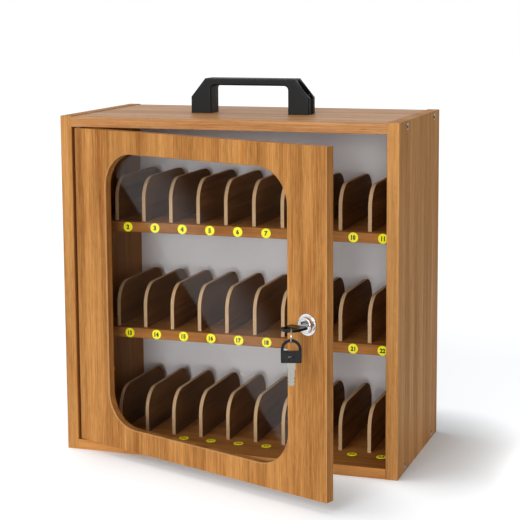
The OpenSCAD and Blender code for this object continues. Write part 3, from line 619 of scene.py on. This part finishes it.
def divider_board():
    """Veneered faces coloured darker than the other boards, as painted shade between the dividers, with pale sawn
    edges, where the core's layers show.
    """
    finish = settings("finish")
    material, tree, shader, point = new_material("divider_board")
    grain = grain_on(tree, point, "Y", (0.2, 0.4, 0.7))
    # Painted shade: the faces take the darker divider colours
    face = veneer_colour(tree, grain, finish.divider_light, finish.divider_dark)
    specks = speckle(tree, point, 0.0011, detail=3.0, roughness=0.7)
    edge = tinted(tree, spread(tree, specks, 0.35, 0.7), finish.raw_edge, 0.72)
    aside = put(tree, "ShaderNodeSeparateXYZ", {0: point["Normal"]}).outputs["X"]
    faced = spread(tree, sums(tree, "ABSOLUTE", aside), 0.6, 0.8)
    height = sums(tree, "MULTIPLY", specks, sums(tree, "SUBTRACT", 1.0, faced))
    feed(tree, shader, Base_Color=mix(tree, faced, edge, face), Specular_IOR_Level=0.05,
         Roughness=between(tree, faced, 0.8, 0.55),
         Normal=bump(tree, height, 0.00015, 0.7))
    return material


def grey_laminate():
    """Light grey laminate with a faint mottle."""
    material, tree, shader, point = new_material("grey_laminate")
    smear = marks_on(tree, point, 0.09, 0.002)["Smear"]
    feed(tree, shader,
         Base_Color=tinted(tree, between(tree, smear, 0.0, 0.35), settings("finish").board_grey, 0.9),
         Roughness=between(tree, smear, 0.38, 0.5),
         Normal=bump(tree, speckle(tree, point, 0.0008), 0.00005, 0.4))
    return material


def moulded(name, colour, rough, grain_size, grain_depth, coat_weight=0.0, dark_shade=None):
    """Moulded plastic with a fine texture and slight smears, with painted shade, nearly black, where a mask says
    so.
    """
    material, tree, shader, point = new_material(name)
    marks = marks_on(tree, point, 0.012, 0.0008)
    texture = speckle(tree, point, grain_size)
    height = sums(tree, "SUBTRACT", texture, sums(tree, "MULTIPLY", marks["Scratch"], 0.3))
    tint = tinted(tree, between(tree, marks["Smear"], 0.0, 0.5), colour, 1.25)
    roughness = between(tree, marks["Smear"], rough - 0.06, rough + 0.06)
    if dark_shade:
        # Painted shade in the recesses: nearly black, and rough so that they mirror nothing
        mask = dark_shade(tree, point)
        tint = mix(tree, mask, tint, paint(colour, 0.1))
        roughness = sums(tree, "MAXIMUM", roughness, mask)
    feed(tree, shader, Base_Color=tint, Roughness=roughness, Specular_IOR_Level=0.22,
         Coat_Weight=coat_weight, Normal=bump(tree, height, grain_depth, 0.8))
    return material


def in_recess(tree, point):
    """A mask of the walls and seats of the handle's screw recesses, where shade is painted."""
    pieces = settings("pieces")
    low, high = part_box("handle")
    middle = (low + high) / 2
    spot = put(tree, "ShaderNodeSeparateXYZ", {0: point["Object"]}).outputs
    aside = sums(tree, "ABSOLUTE", sums(tree, "SUBTRACT", spot["X"], middle.x))
    aside = sums(tree, "SUBTRACT", aside, high.x - middle.x - pieces.recess_in)
    deep = sums(tree, "SUBTRACT", spot["Y"], middle.y)
    away = put(tree, "ShaderNodeCombineXYZ", {"X": aside, "Y": deep}).outputs["Vector"]
    away = put(tree, "ShaderNodeVectorMath", {0: away}, operation="LENGTH").outputs["Value"]
    wall = pieces.recess_wide / 2
    near, past = 0.00005, 0.0002
    return spread(tree, away, wall + near, wall + past, 1.0, 0.0)


def plated(name):
    """One of the plated metals, smeared by hands and brushed, made at its first use."""
    if name in bpy.data.materials:
        return bpy.data.materials[name]
    colour, rough, brushed = METALS[name]
    material, tree, shader, point = new_material(name)
    marks = marks_on(tree, point, 0.006, 0.0003)
    feed(tree, shader, Metallic=1.0,
         Base_Color=tinted(tree, between(tree, marks["Smear"], 0.0, 0.6),
                           getattr(settings("finish"), colour), 0.82),
         Roughness=between(tree, marks["Smear"], rough, rough + 0.10),
         Normal=bump(tree, marks["Scratch"], 0.00002 + brushed, 0.5))
    return material


def label_vinyl():
    """Printed vinyl of the discs in a bright yellow, with a painted glow that lifts it above the light it gets."""
    finish = settings("finish")
    material, tree, shader, point = new_material("label_vinyl")
    marks = marks_on(tree, point, 0.01, 0.0005)
    feed(tree, shader,
         Base_Color=tinted(tree, between(tree, marks["Smear"], 0.0, 0.4), finish.disc, 0.88),
         Roughness=between(tree, marks["Smear"], 0.16, 0.26),
         # Painted glow: the discs give off light though they are no lamp
         Emission_Color=paint(finish.disc), Emission_Strength=finish.disc_glow,
         Normal=bump(tree, marks["Scratch"], 0.00002, 0.4))
    return material


def printed_ink():
    """Dense black ink of the numerals, a little uneven."""
    material, tree, shader, point = new_material("printed_ink")
    patch = speckle(tree, point, 0.0007)
    feed(tree, shader,
         Base_Color=tinted(tree, spread(tree, patch, 0.4, 0.8, 0.0, 0.5), settings("finish").ink, 2.5),
         Roughness=spread(tree, patch, 0.3, 0.7, 0.4, 0.6))
    return material


def along_glare(tree, point):
    """A mask of a slanting band across the pane, with a sharp edge on one side and a soft one."""
    finish = settings("finish")
    across = vectors(tree, "DOT_PRODUCT", point["Object"], DOOR_ALONG)
    height = put(tree, "ShaderNodeSeparateXYZ", {0: point["Object"]}).outputs["Z"]
    slanted = sums(tree, "ADD", across, sums(tree, "MULTIPLY", height, finish.glare_slant))
    sharp, soft = 0.002, 0.05
    first = spread(tree, slanted, finish.glare_start, finish.glare_start + sharp)
    last = spread(tree, slanted, finish.glare_end, finish.glare_end + soft, 1.0, 0.0)
    return sums(tree, "MULTIPLY", first, last)


def clear_pane():
    """Clear acrylic with faint smears, which lets the light through and mirrors it in a band."""
    material, tree, shader, point = new_material("clear_pane")
    smear = marks_on(tree, point, 0.06, 0.001)["Smear"]
    path = tree.nodes.new("ShaderNodeLightPath")
    passing = sums(tree, "MAXIMUM", path.outputs["Is Shadow Ray"], path.outputs["Is Diffuse Ray"])
    feed(tree, shader, Base_Color=(0.98, 0.99, 0.985, 1.0), Transmission_Weight=1.0, IOR=1.06,
         Coat_Weight=between(tree, along_glare(tree, point), 0.0, settings("finish").glare),
         Coat_Roughness=0.0, Roughness=between(tree, smear, 0.0, 0.02),
         Alpha=between(tree, passing, 1.0, 0.05))
    return material


class CABINET_OT_boards(bpy.types.Operator):
    """Eases the four outer boards and gives them their veneer"""

    bl_idname = "cabinet.boards"
    bl_label = "Outer boards"

    def execute(self, context):
        finish = settings("finish")
        sides = (finish.side_light, finish.side_dark, "Z")
        looks = {
            "side_left": (*sides, (0.0, 0.0, 0.0), finish.board_gloss),
            "side_right": (*sides, (0.7, 0.3, 0.9), finish.board_gloss),
            # The top's lighter, paler colours are painted light from above and a painted sheen
            "top_panel": (finish.top_light, finish.top_dark, "X", (0.2, 0.5, 0.1), finish.top_gloss),
            "bottom_panel": (finish.floor_light, finish.floor_dark, "X", (0.9, 0.8, 0.6),
                             finish.board_gloss),
        }
        for node, look in looks.items():
            dress(eased(node, settings("pieces").board_ease, shortest=SHORT_EDGE), node,
                  veneer(f"veneer_{node}", *look))
        return {"FINISHED"}


class CABINET_OT_shelves(bpy.types.Operator):
    """Eases the two shelves and gives them their veneer"""

    bl_idname = "cabinet.shelves"
    bl_label = "Shelves"

    def execute(self, context):
        finish = settings("finish")
        for node, offset in {"shelf_upper": (0.3, 0.1, 0.4), "shelf_lower": (0.6, 0.9, 0.2)}.items():
            material = veneer(f"veneer_{node}", finish.shelf_light, finish.shelf_dark, "X", offset,
                              finish.board_gloss, shaded=False)
            dress(eased(node, settings("pieces").divider_ease, shortest=SHORT_EDGE), node, material)
        return {"FINISHED"}


class CABINET_OT_dividers(bpy.types.Operator):
    """Eases the thirty dividers and gives them faces darkened by painted shade, and pale edges"""

    bl_idname = "cabinet.dividers"
    bl_label = "Dividers"

    def execute(self, context):
        material = divider_board()
        for node in DIVIDERS:
            dress(eased(node, settings("pieces").divider_ease), node, material)
        return {"FINISHED"}


class CABINET_OT_back(bpy.types.Operator):
    """Gives the back panel its laminate"""

    bl_idname = "cabinet.back"
    bl_label = "Back panel"

    def execute(self, context):
        dress(eased("back_panel", settings("pieces").divider_ease, shortest=SHORT_EDGE), "back_panel",
              grey_laminate())
        return {"FINISHED"}


def slot_middles():
    """The middle of each slot in a row along X, from the dividers on both sides."""
    first, second = (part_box(f"divider_upper_{place}") for place in (1, 2))
    pitch = second[0].x - first[0].x
    start_x = (first[0].x + first[1].x) / 2 - pitch / 2
    return [start_x + place * pitch for place in range(SLOTS_IN_ROW)]


def numeral(text, turn, weight):
    """One numeral as a thin raised shape, its middle at the origin, turned to face outwards."""
    pieces = settings("pieces")
    bpy.ops.object.select_all(action="DESELECT")
    bpy.ops.object.text_add()
    piece = start(f"numeral_{text}")
    piece.data.body = text
    piece.data.offset = weight / pieces.numeral_height
    piece.data.space_character = pieces.numeral_space
    piece.data.extrude = pieces.numeral_proud / pieces.numeral_height
    piece.data.resolution_u = 4
    bpy.ops.object.convert(target="MESH")
    corners = [v.co for v in piece.data.vertices]
    low = Vector([min(c[axis] for c in corners) for axis in range(3)])
    high = Vector([max(c[axis] for c in corners) for axis in range(3)])
    size = pieces.numeral_height / (high.y - low.y)
    narrow = pieces.numeral_narrow if len(text) > 1 else 1.0
    scale = Matrix.Diagonal((size * narrow, size, pieces.numeral_height, 1.0))
    place(piece, turn @ scale @ Matrix.Translation(-(low + high) / 2))
    return piece


def disc_thickness():
    """How far the discs that lie flat stand off the bottom panel."""
    floor_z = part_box("bottom_panel")[1].z
    well_above = floor_z + 0.003
    heights = [v.co.z for v in frame["nodes"]["number_discs"].data.vertices]
    return max(z for z in heights if z < well_above) - floor_z


def joined(parts, name):
    """Several pieces as one."""
    take(parts[0])
    for part in parts:
        part.select_set(True)
    bpy.ops.object.join()
    return start(name)


class CABINET_OT_numerals(bpy.types.Operator):
    """Prints the slot numbers on the discs, row by row"""

    bl_idname = "cabinet.numerals"
    bl_label = "Slot numbers"

    def execute(self, context):
        coat("number_discs", label_vinyl())
        ink = printed_ink()
        pieces = settings("pieces")
        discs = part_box("number_discs")
        middles = slot_middles()
        radius = (discs[1].x - discs[0].x - (middles[-1] - middles[0])) / 2
        proud = disc_thickness() + pieces.numeral_proud / 2
        upright = Matrix.Rotation(math.pi / 2, 4, "X")
        floor_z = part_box("bottom_panel")[1].z
        number = 0
        for row, shelf in zip(ROWS, ("shelf_upper", "shelf_lower", None)):
            parts = []
            for x in middles:
                number += 1
                if shelf:
                    low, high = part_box(shelf)
                    spot = Vector((x, low.y - proud, (low.z + high.z) / 2))
                    part = numeral(str(number), upright, pieces.numeral_weight)
                else:
                    spot = Vector((x, discs[0].y + radius, floor_z + proud))
                    part = numeral(str(number), Matrix.Identity(4), pieces.floor_weight)
                place(part, Matrix.Translation(spot))
                parts.append(part)
            piece = joined(parts, f"numerals_{row}")
            piece.data.materials.clear()
            piece.data.materials.append(ink)
            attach(piece, "cabinet")
        return {"FINISHED"}


class CABINET_OT_door(bpy.types.Operator):
    """Eases the door and gives it its veneer"""

    bl_idname = "cabinet.door"
    bl_label = "Door"

    def execute(self, context):
        dress(eased("door_panel", settings("pieces").board_ease, shortest=SHORT_EDGE), "door_panel",
              door_veneer())
        return {"FINISHED"}


class CABINET_OT_pane(bpy.types.Operator):
    """Gives the window its clear pane"""

    bl_idname = "cabinet.pane"
    bl_label = "Window pane"

    def execute(self, context):
        dress(eased("window_pane", settings("pieces").divider_ease), "window_pane", clear_pane())
        return {"FINISHED"}


def arc(centre, radius, first, last, steps):
    """Points round part of a circle in the XZ plane, angles in degrees."""
    angles = [math.radians(first + (last - first) * step / steps) for step in range(steps + 1)]
    return [(centre[0] + radius * math.cos(a), centre[1] + radius * math.sin(a)) for a in angles]


class CABINET_OT_handle(bpy.types.Operator):
    """Models the moulded handle with soft edges and the recesses for its screws"""

    bl_idname = "cabinet.handle"
    bl_label = "Handle"

    def execute(self, context):
        pieces = settings("pieces")
        low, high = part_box("handle")
        half, tall = (high.x - low.x) / 2, high.z - low.z
        opening = half - pieces.foot_width
        under = tall - pieces.grip_thick
        inner = pieces.handle_inner
        outline = [(-half, 0), (-half, tall - pieces.slope_height), (pieces.slope_width - half, tall),
                   (half - pieces.slope_width, tall), (half, tall - pieces.slope_height), (half, 0),
                   (opening, 0)]
        outline += arc((opening - inner, under - inner), inner, 0, 90, 6)
        outline += arc((inner - opening, under - inner), inner, 90, 180, 6)
        outline += [(-opening, 0)]
        middle = (low + high) / 2
        bpy.ops.object.select_all(action="DESELECT")
        bpy.ops.mesh.primitive_circle_add(vertices=len(outline), radius=half, fill_type="NGON",
                                          rotation=(math.pi / 2, 0, 0))
        piece = start("handle_moulding")
        bpy.ops.object.transform_apply(location=True, rotation=True, scale=True)
        for vertex, (x, z) in zip(piece.data.vertices, outline):
            vertex.co = (middle.x + x, low.y, low.z + z)
        bpy.ops.object.mode_set(mode="EDIT")
        bpy.ops.mesh.select_all(action="SELECT")
        bpy.ops.mesh.extrude_region_move(TRANSFORM_OT_translate={"value": (0, high.y - low.y, 0)})
        bpy.ops.mesh.select_all(action="SELECT")
        bpy.ops.mesh.normals_make_consistent(inside=False)
        foot = low.z + SAME_POINT
        select_where(piece, "EDGE", lambda edge: max(v.co.z for v in edge.verts) > foot
                     and abs(edge.verts[0].co.y - edge.verts[1].co.y) < SAME_POINT)
        bpy.ops.mesh.bevel(offset=pieces.handle_ease, segments=4, affect="EDGES",
                           clamp_overlap=True)
        bpy.ops.object.mode_set(mode="OBJECT")
        self.cut_recesses(piece, low, high)
        smooth(piece)
        finish = settings("finish")
        dress(piece, "handle", moulded("handle_plastic", finish.plastic, 0.5, 0.0005, 0.00006,
                                       dark_shade=in_recess))
        coat("handle_screws", plated("black_oxide"))
        coat("handle_nuts", plated("zinc_plating"))
        return {"FINISHED"}

    def cut_recesses(self, piece, low, high):
        """Cuts the round recess for a screw head into each shoulder, and the hole below it."""
        pieces = settings("pieces")
        middle = (low + high) / 2
        past_top = 0.001
        for side in (-1, 1):
            x = middle.x + side * (high.x - middle.x - pieces.recess_in)
            for wide, bottom in ((pieces.recess_wide, low.z + pieces.recess_seat),
                                 (pieces.recess_hole, low.z - pieces.recess_seat)):
                depth = high.z - bottom
                bpy.ops.object.select_all(action="DESELECT")
                bpy.ops.mesh.primitive_cylinder_add(
                    vertices=48, radius=wide / 2, depth=depth,
                    location=(x, middle.y, high.z - depth / 2 + past_top))
                cutter = start("recess_cutter")
                modifier = piece.modifiers.new("recess", "BOOLEAN")
                modifier.object = cutter
                modifier.solver = "EXACT"
                apply_modifiers(piece)
                bpy.data.objects.remove(cutter)


class CABINET_OT_lock(bpy.types.Operator):
    """Eases the lock, its cam and its strike and plates them"""

    bl_idname = "cabinet.lock"
    bl_label = "Lock"

    def execute(self, context):
        ease = settings("pieces").metal_ease
        for node in ("lock_body", "lock_plug"):
            dress(eased(node, ease), node, plated("polished_chrome"))
        for node in ("lock_nut", "lock_cam", "strike_plate"):
            dress(eased(node, ease), node, plated("zinc_plating"))
        return {"FINISHED"}


class CABINET_OT_keys(bpy.types.Operator):
    """Models the bows, the blades and the coiled ring of the two keys"""

    bl_idname = "cabinet.keys"
    bl_label = "Keys"

    def execute(self, context):
        plastic = moulded("bow_plastic", settings("finish").bow, 0.28, 0.0012, 0.00002, 0.1)
        for node in ("key_bow", "spare_key_bow"):
            dress(self.bow(node), node, plastic)
        for node in ("key_blade", "spare_key_blade"):
            dress(eased(node, settings("pieces").metal_ease), node, plated("nickel_plating"))
        dress(self.ring(), "key_ring", plated("nickel_plating"))
        return {"FINISHED"}

    def bow(self, node):
        """A bow with round edges and a sunk field inside a raised rim, on both faces."""
        pieces = settings("pieces")
        piece = merged_copy(node, f"{node}_moulding")
        across = sorted(piece.data.polygons, key=lambda face: face.area)[-1].normal.copy()
        straight_on = 0.99
        # In radians: more than the slope round the sunk field, which stays crisp
        steep = 1.2
        bpy.ops.object.mode_set(mode="EDIT")
        for side in (-1, 1):
            select_where(piece, "FACE", lambda face: face.normal.dot(across) * side > straight_on)
            bpy.ops.mesh.inset(thickness=pieces.bow_rim, depth=0.0)
            bpy.ops.mesh.inset(thickness=pieces.bow_sink, depth=-pieces.bow_sink)
        select_where(piece, "EDGE",
                     lambda edge: is_corner(edge) and edge.calc_face_angle() > steep)
        bpy.ops.mesh.bevel(offset=pieces.bow_ease, segments=3, affect="EDGES", clamp_overlap=True)
        smooth(piece)
        return piece

    def ring(self):
        """Two turns of thin wire, wound side by side."""
        pieces = settings("pieces")
        low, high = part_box("key_ring")
        middle = (low + high) / 2
        wire = pieces.coil_wire
        inward = Vector(JOINT["spare_key_swing"]["axis"])
        axis = inward.cross(UP).normalized()
        radius = (high.z - low.z) / 2 - wire
        bpy.ops.object.select_all(action="DESELECT")
        bpy.ops.mesh.primitive_circle_add(vertices=10, radius=wire / 2, location=(radius, 0, 0),
                                          rotation=(math.pi / 2, 0, 0))
        piece = start("key_ring_coil")
        bpy.ops.object.transform_apply(location=True, rotation=True, scale=True)
        turns = 2
        coil = piece.modifiers.new("coil", "SCREW")
        coil.angle = turns * 2 * math.pi
        coil.screw_offset = wire
        coil.steps = coil.render_steps = 96
        coil.use_merge_vertices = False
        apply_modifiers(piece)
        bpy.ops.object.mode_set(mode="EDIT")
        select_where(piece, "EDGE", lambda edge: edge.is_boundary)
        bpy.ops.mesh.edge_face_add()
        bpy.ops.mesh.select_all(action="SELECT")
        bpy.ops.mesh.normals_make_consistent(inside=False)
        bpy.ops.object.mode_set(mode="OBJECT")
        turn = Matrix((inward, UP, axis)).transposed().to_4x4()
        place(piece, Matrix.Translation(middle) @ turn @ Matrix.Translation((0, 0, -wire / 2)))
        smooth(piece)
        return piece


class CABINET_OT_fasteners(bpy.types.Operator):
    """Plates the screws, tacks and pins, and finishes the nylon bushes"""

    bl_idname = "cabinet.fasteners"
    bl_label = "Fasteners"

    def execute(self, context):
        for node in ("side_screws", "back_tacks", "strike_screws", "pane_screws", "hinge_pins",
                     "cam_screw"):
            coat(node, plated("zinc_plating"))
        # The bushes' dark colour is painted shade in the hinge gap
        coat("hinge_bushes", moulded("nylon", settings("finish").nylon, 0.4, 0.0006, 0.00002))
        return {"FINISHED"}


class CABINET_OT_stage(bpy.types.Operator):
    """Lays the floor, sets the soft light and stands the camera where the picture was taken"""

    bl_idname = "cabinet.stage"
    bl_label = "Stage"

    def execute(self, context):
        self.floor()
        self.room()
        self.lamps()
        self.card()
        self.camera()
        context.scene.view_settings.view_transform = "Standard"
        return {"FINISHED"}

    def seen(self, tree):
        """Whether a ray comes from the camera, directly, through the pane or by way of a mirror."""
        path = tree.nodes.new("ShaderNodeLightPath")
        return sums(tree, "MAXIMUM", path.outputs["Is Camera Ray"],
                    sums(tree, "MAXIMUM", path.outputs["Is Glossy Ray"],
                         path.outputs["Is Transmission Ray"]))

    def floor(self):
        """A pale floor that adds white in the camera's view, less of it in the cabinet's shadow."""
        stage = settings("stage")
        bpy.ops.object.select_all(action="DESELECT")
        bpy.ops.mesh.primitive_plane_add(size=stage.floor_size, location=(0, 0, CAD_BOX[0].z))
        piece = start("studio_floor")
        material, tree, shader, point = new_material("studio_floor")
        seen = self.seen(tree)
        grit = noise(tree, point["Object"], scale=3.0)
        x, y, z = Vector(stage.shadow_from).normalized()
        source = put(tree, "ShaderNodeCombineXYZ", {0: x, 1: y, 2: z}).outputs[0]
        open_sky = put(tree, "ShaderNodeAmbientOcclusion",
                       {"Distance": stage.shadow_reach, "Normal": source}, samples=16).outputs["AO"]
        open_sky = sums(tree, "POWER", open_sky, stage.shadow_depth)
        feed(tree, shader, Base_Color=tinted(tree, grit, stage.floor_colour, 0.99),
             Roughness=0.7, Specular_IOR_Level=0.0, Emission_Color=(1.0, 1.0, 1.0, 1.0),
             Emission_Strength=sums(tree, "MULTIPLY", sums(tree, "MULTIPLY", seen, open_sky),
                                    stage.floor_lift))
        piece.data.materials.append(material)

    def room(self):
        """Even light from all round, which shows as white behind the cabinet."""
        stage = settings("stage")
        world = bpy.data.worlds.new("studio_room")
        bpy.context.scene.world = world
        world.use_nodes = True
        tree = world.node_tree
        strength = between(tree, self.seen(tree), stage.room_level, 1.0)
        feed(tree, tree.nodes["Background"], Color=(1.0, 1.0, 1.0, 1.0), Strength=strength)

    def lamps(self):
        """Two distant soft lamps: one at the front left, and a low one that reaches deep inside."""
        stage = settings("stage")
        for name in ("key", "fill"):
            lamp = bpy.data.lights.new(f"{name}_lamp", "SUN")
            lamp.energy = getattr(stage, f"{name}_level")
            lamp.angle = getattr(stage, f"{name}_spread")
            holder = bpy.data.objects.new(f"{name}_lamp", lamp)
            bpy.context.scene.collection.objects.link(holder)
            source = Vector(getattr(stage, f"{name}_from"))
            holder.rotation_euler = source.to_track_quat("Z", "Y").to_euler()

    def card(self):
        """A dark card at the right that only mirrors see, for contrast in the metal."""
        stage = settings("stage")
        bpy.ops.object.select_all(action="DESELECT")
        bpy.ops.mesh.primitive_plane_add(size=1.0)
        piece = start("dark_card")
        x, near, far, top = stage.card_place
        for vertex, (y, z) in zip(piece.data.vertices, ((near, 0), (far, 0), (near, top), (far, top))):
            vertex.co = (x, y, z)
        material, tree, shader, point = new_material("dark_card")
        feed(tree, shader, Base_Color=paint(stage.card_colour), Roughness=1.0)
        piece.data.materials.append(material)
        for sight in ("camera", "diffuse", "shadow", "transmission"):
            setattr(piece, f"visible_{sight}", False)

    def camera(self):
        """The camera, turned, tilted and rolled as in the picture."""
        stage = settings("stage")
        yaw, pitch, roll = stage.camera_turn
        forward = Vector((-math.sin(yaw) * math.cos(pitch), math.cos(yaw) * math.cos(pitch),
                          math.sin(pitch)))
        level = Vector((math.cos(yaw), math.sin(yaw), 0.0))
        upright = level.cross(forward)
        right = level * math.cos(roll) + upright * math.sin(roll)
        up = upright * math.cos(roll) - level * math.sin(roll)
        lens = bpy.data.cameras.new("camera")
        lens.lens = stage.camera_focal / stage.picture_width * lens.sensor_width
        lens.shift_y = stage.picture_centre / stage.picture_width - 0.5
        holder = bpy.data.objects.new("camera", lens)
        bpy.context.scene.collection.objects.link(holder)
        turn = Matrix((right, up, -forward)).transposed().to_4x4()
        holder.matrix_world = Matrix.Translation(stage.camera_place) @ turn
        bpy.context.scene.camera = holder


OPERATORS = (
    CABINET_OT_boards,
    CABINET_OT_shelves,
    CABINET_OT_dividers,
    CABINET_OT_back,
    CABINET_OT_numerals,
    CABINET_OT_door,
    CABINET_OT_pane,
    CABINET_OT_handle,
    CABINET_OT_lock,
    CABINET_OT_keys,
    CABINET_OT_fasteners,
    CABINET_OT_stage,
)


class CABINET_PT_looks(bpy.types.Panel):
    """Lists the steps and the settings of the cabinet's looks"""

    bl_label = "Cabinet looks"
    bl_idname = "CABINET_PT_looks"
    bl_space_type = "VIEW_3D"
    bl_region_type = "UI"
    bl_category = "Cabinet"

    def draw(self, context):
        for operator in OPERATORS:
            self.layout.operator(operator.bl_idname)
        for name in SETTINGS:
            group = settings(name)
            box = self.layout.box()
            box.label(text=name.capitalize())
            for key in group.bl_rna.properties.keys():
                if key not in ("rna_type", "name"):
                    box.prop(group, key)


SETTINGS = {"finish": CabinetFinish, "pieces": CabinetPieces, "stage": CabinetStage}
CLASSES = (*SETTINGS.values(), *OPERATORS, CABINET_PT_looks)


def register():
    """Registers the classes and hangs the settings on the scene."""
    for cls in CLASSES:
        bpy.utils.register_class(cls)
    for name, cls in SETTINGS.items():
        setattr(bpy.types.Scene, f"cabinet_{name}", bpy.props.PointerProperty(type=cls))


def unregister():
    """Takes the settings off the scene and the classes out."""
    for name in SETTINGS:
        delattr(bpy.types.Scene, f"cabinet_{name}")
    for cls in reversed(CLASSES):
        bpy.utils.unregister_class(cls)


def main():
    """Dresses the cabinet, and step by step."""
    register()
    for operator in OPERATORS:
        family, step = operator.bl_idname.split(".")
        getattr(getattr(bpy.ops, family), step)()


if __name__ == "__main__":
    main()
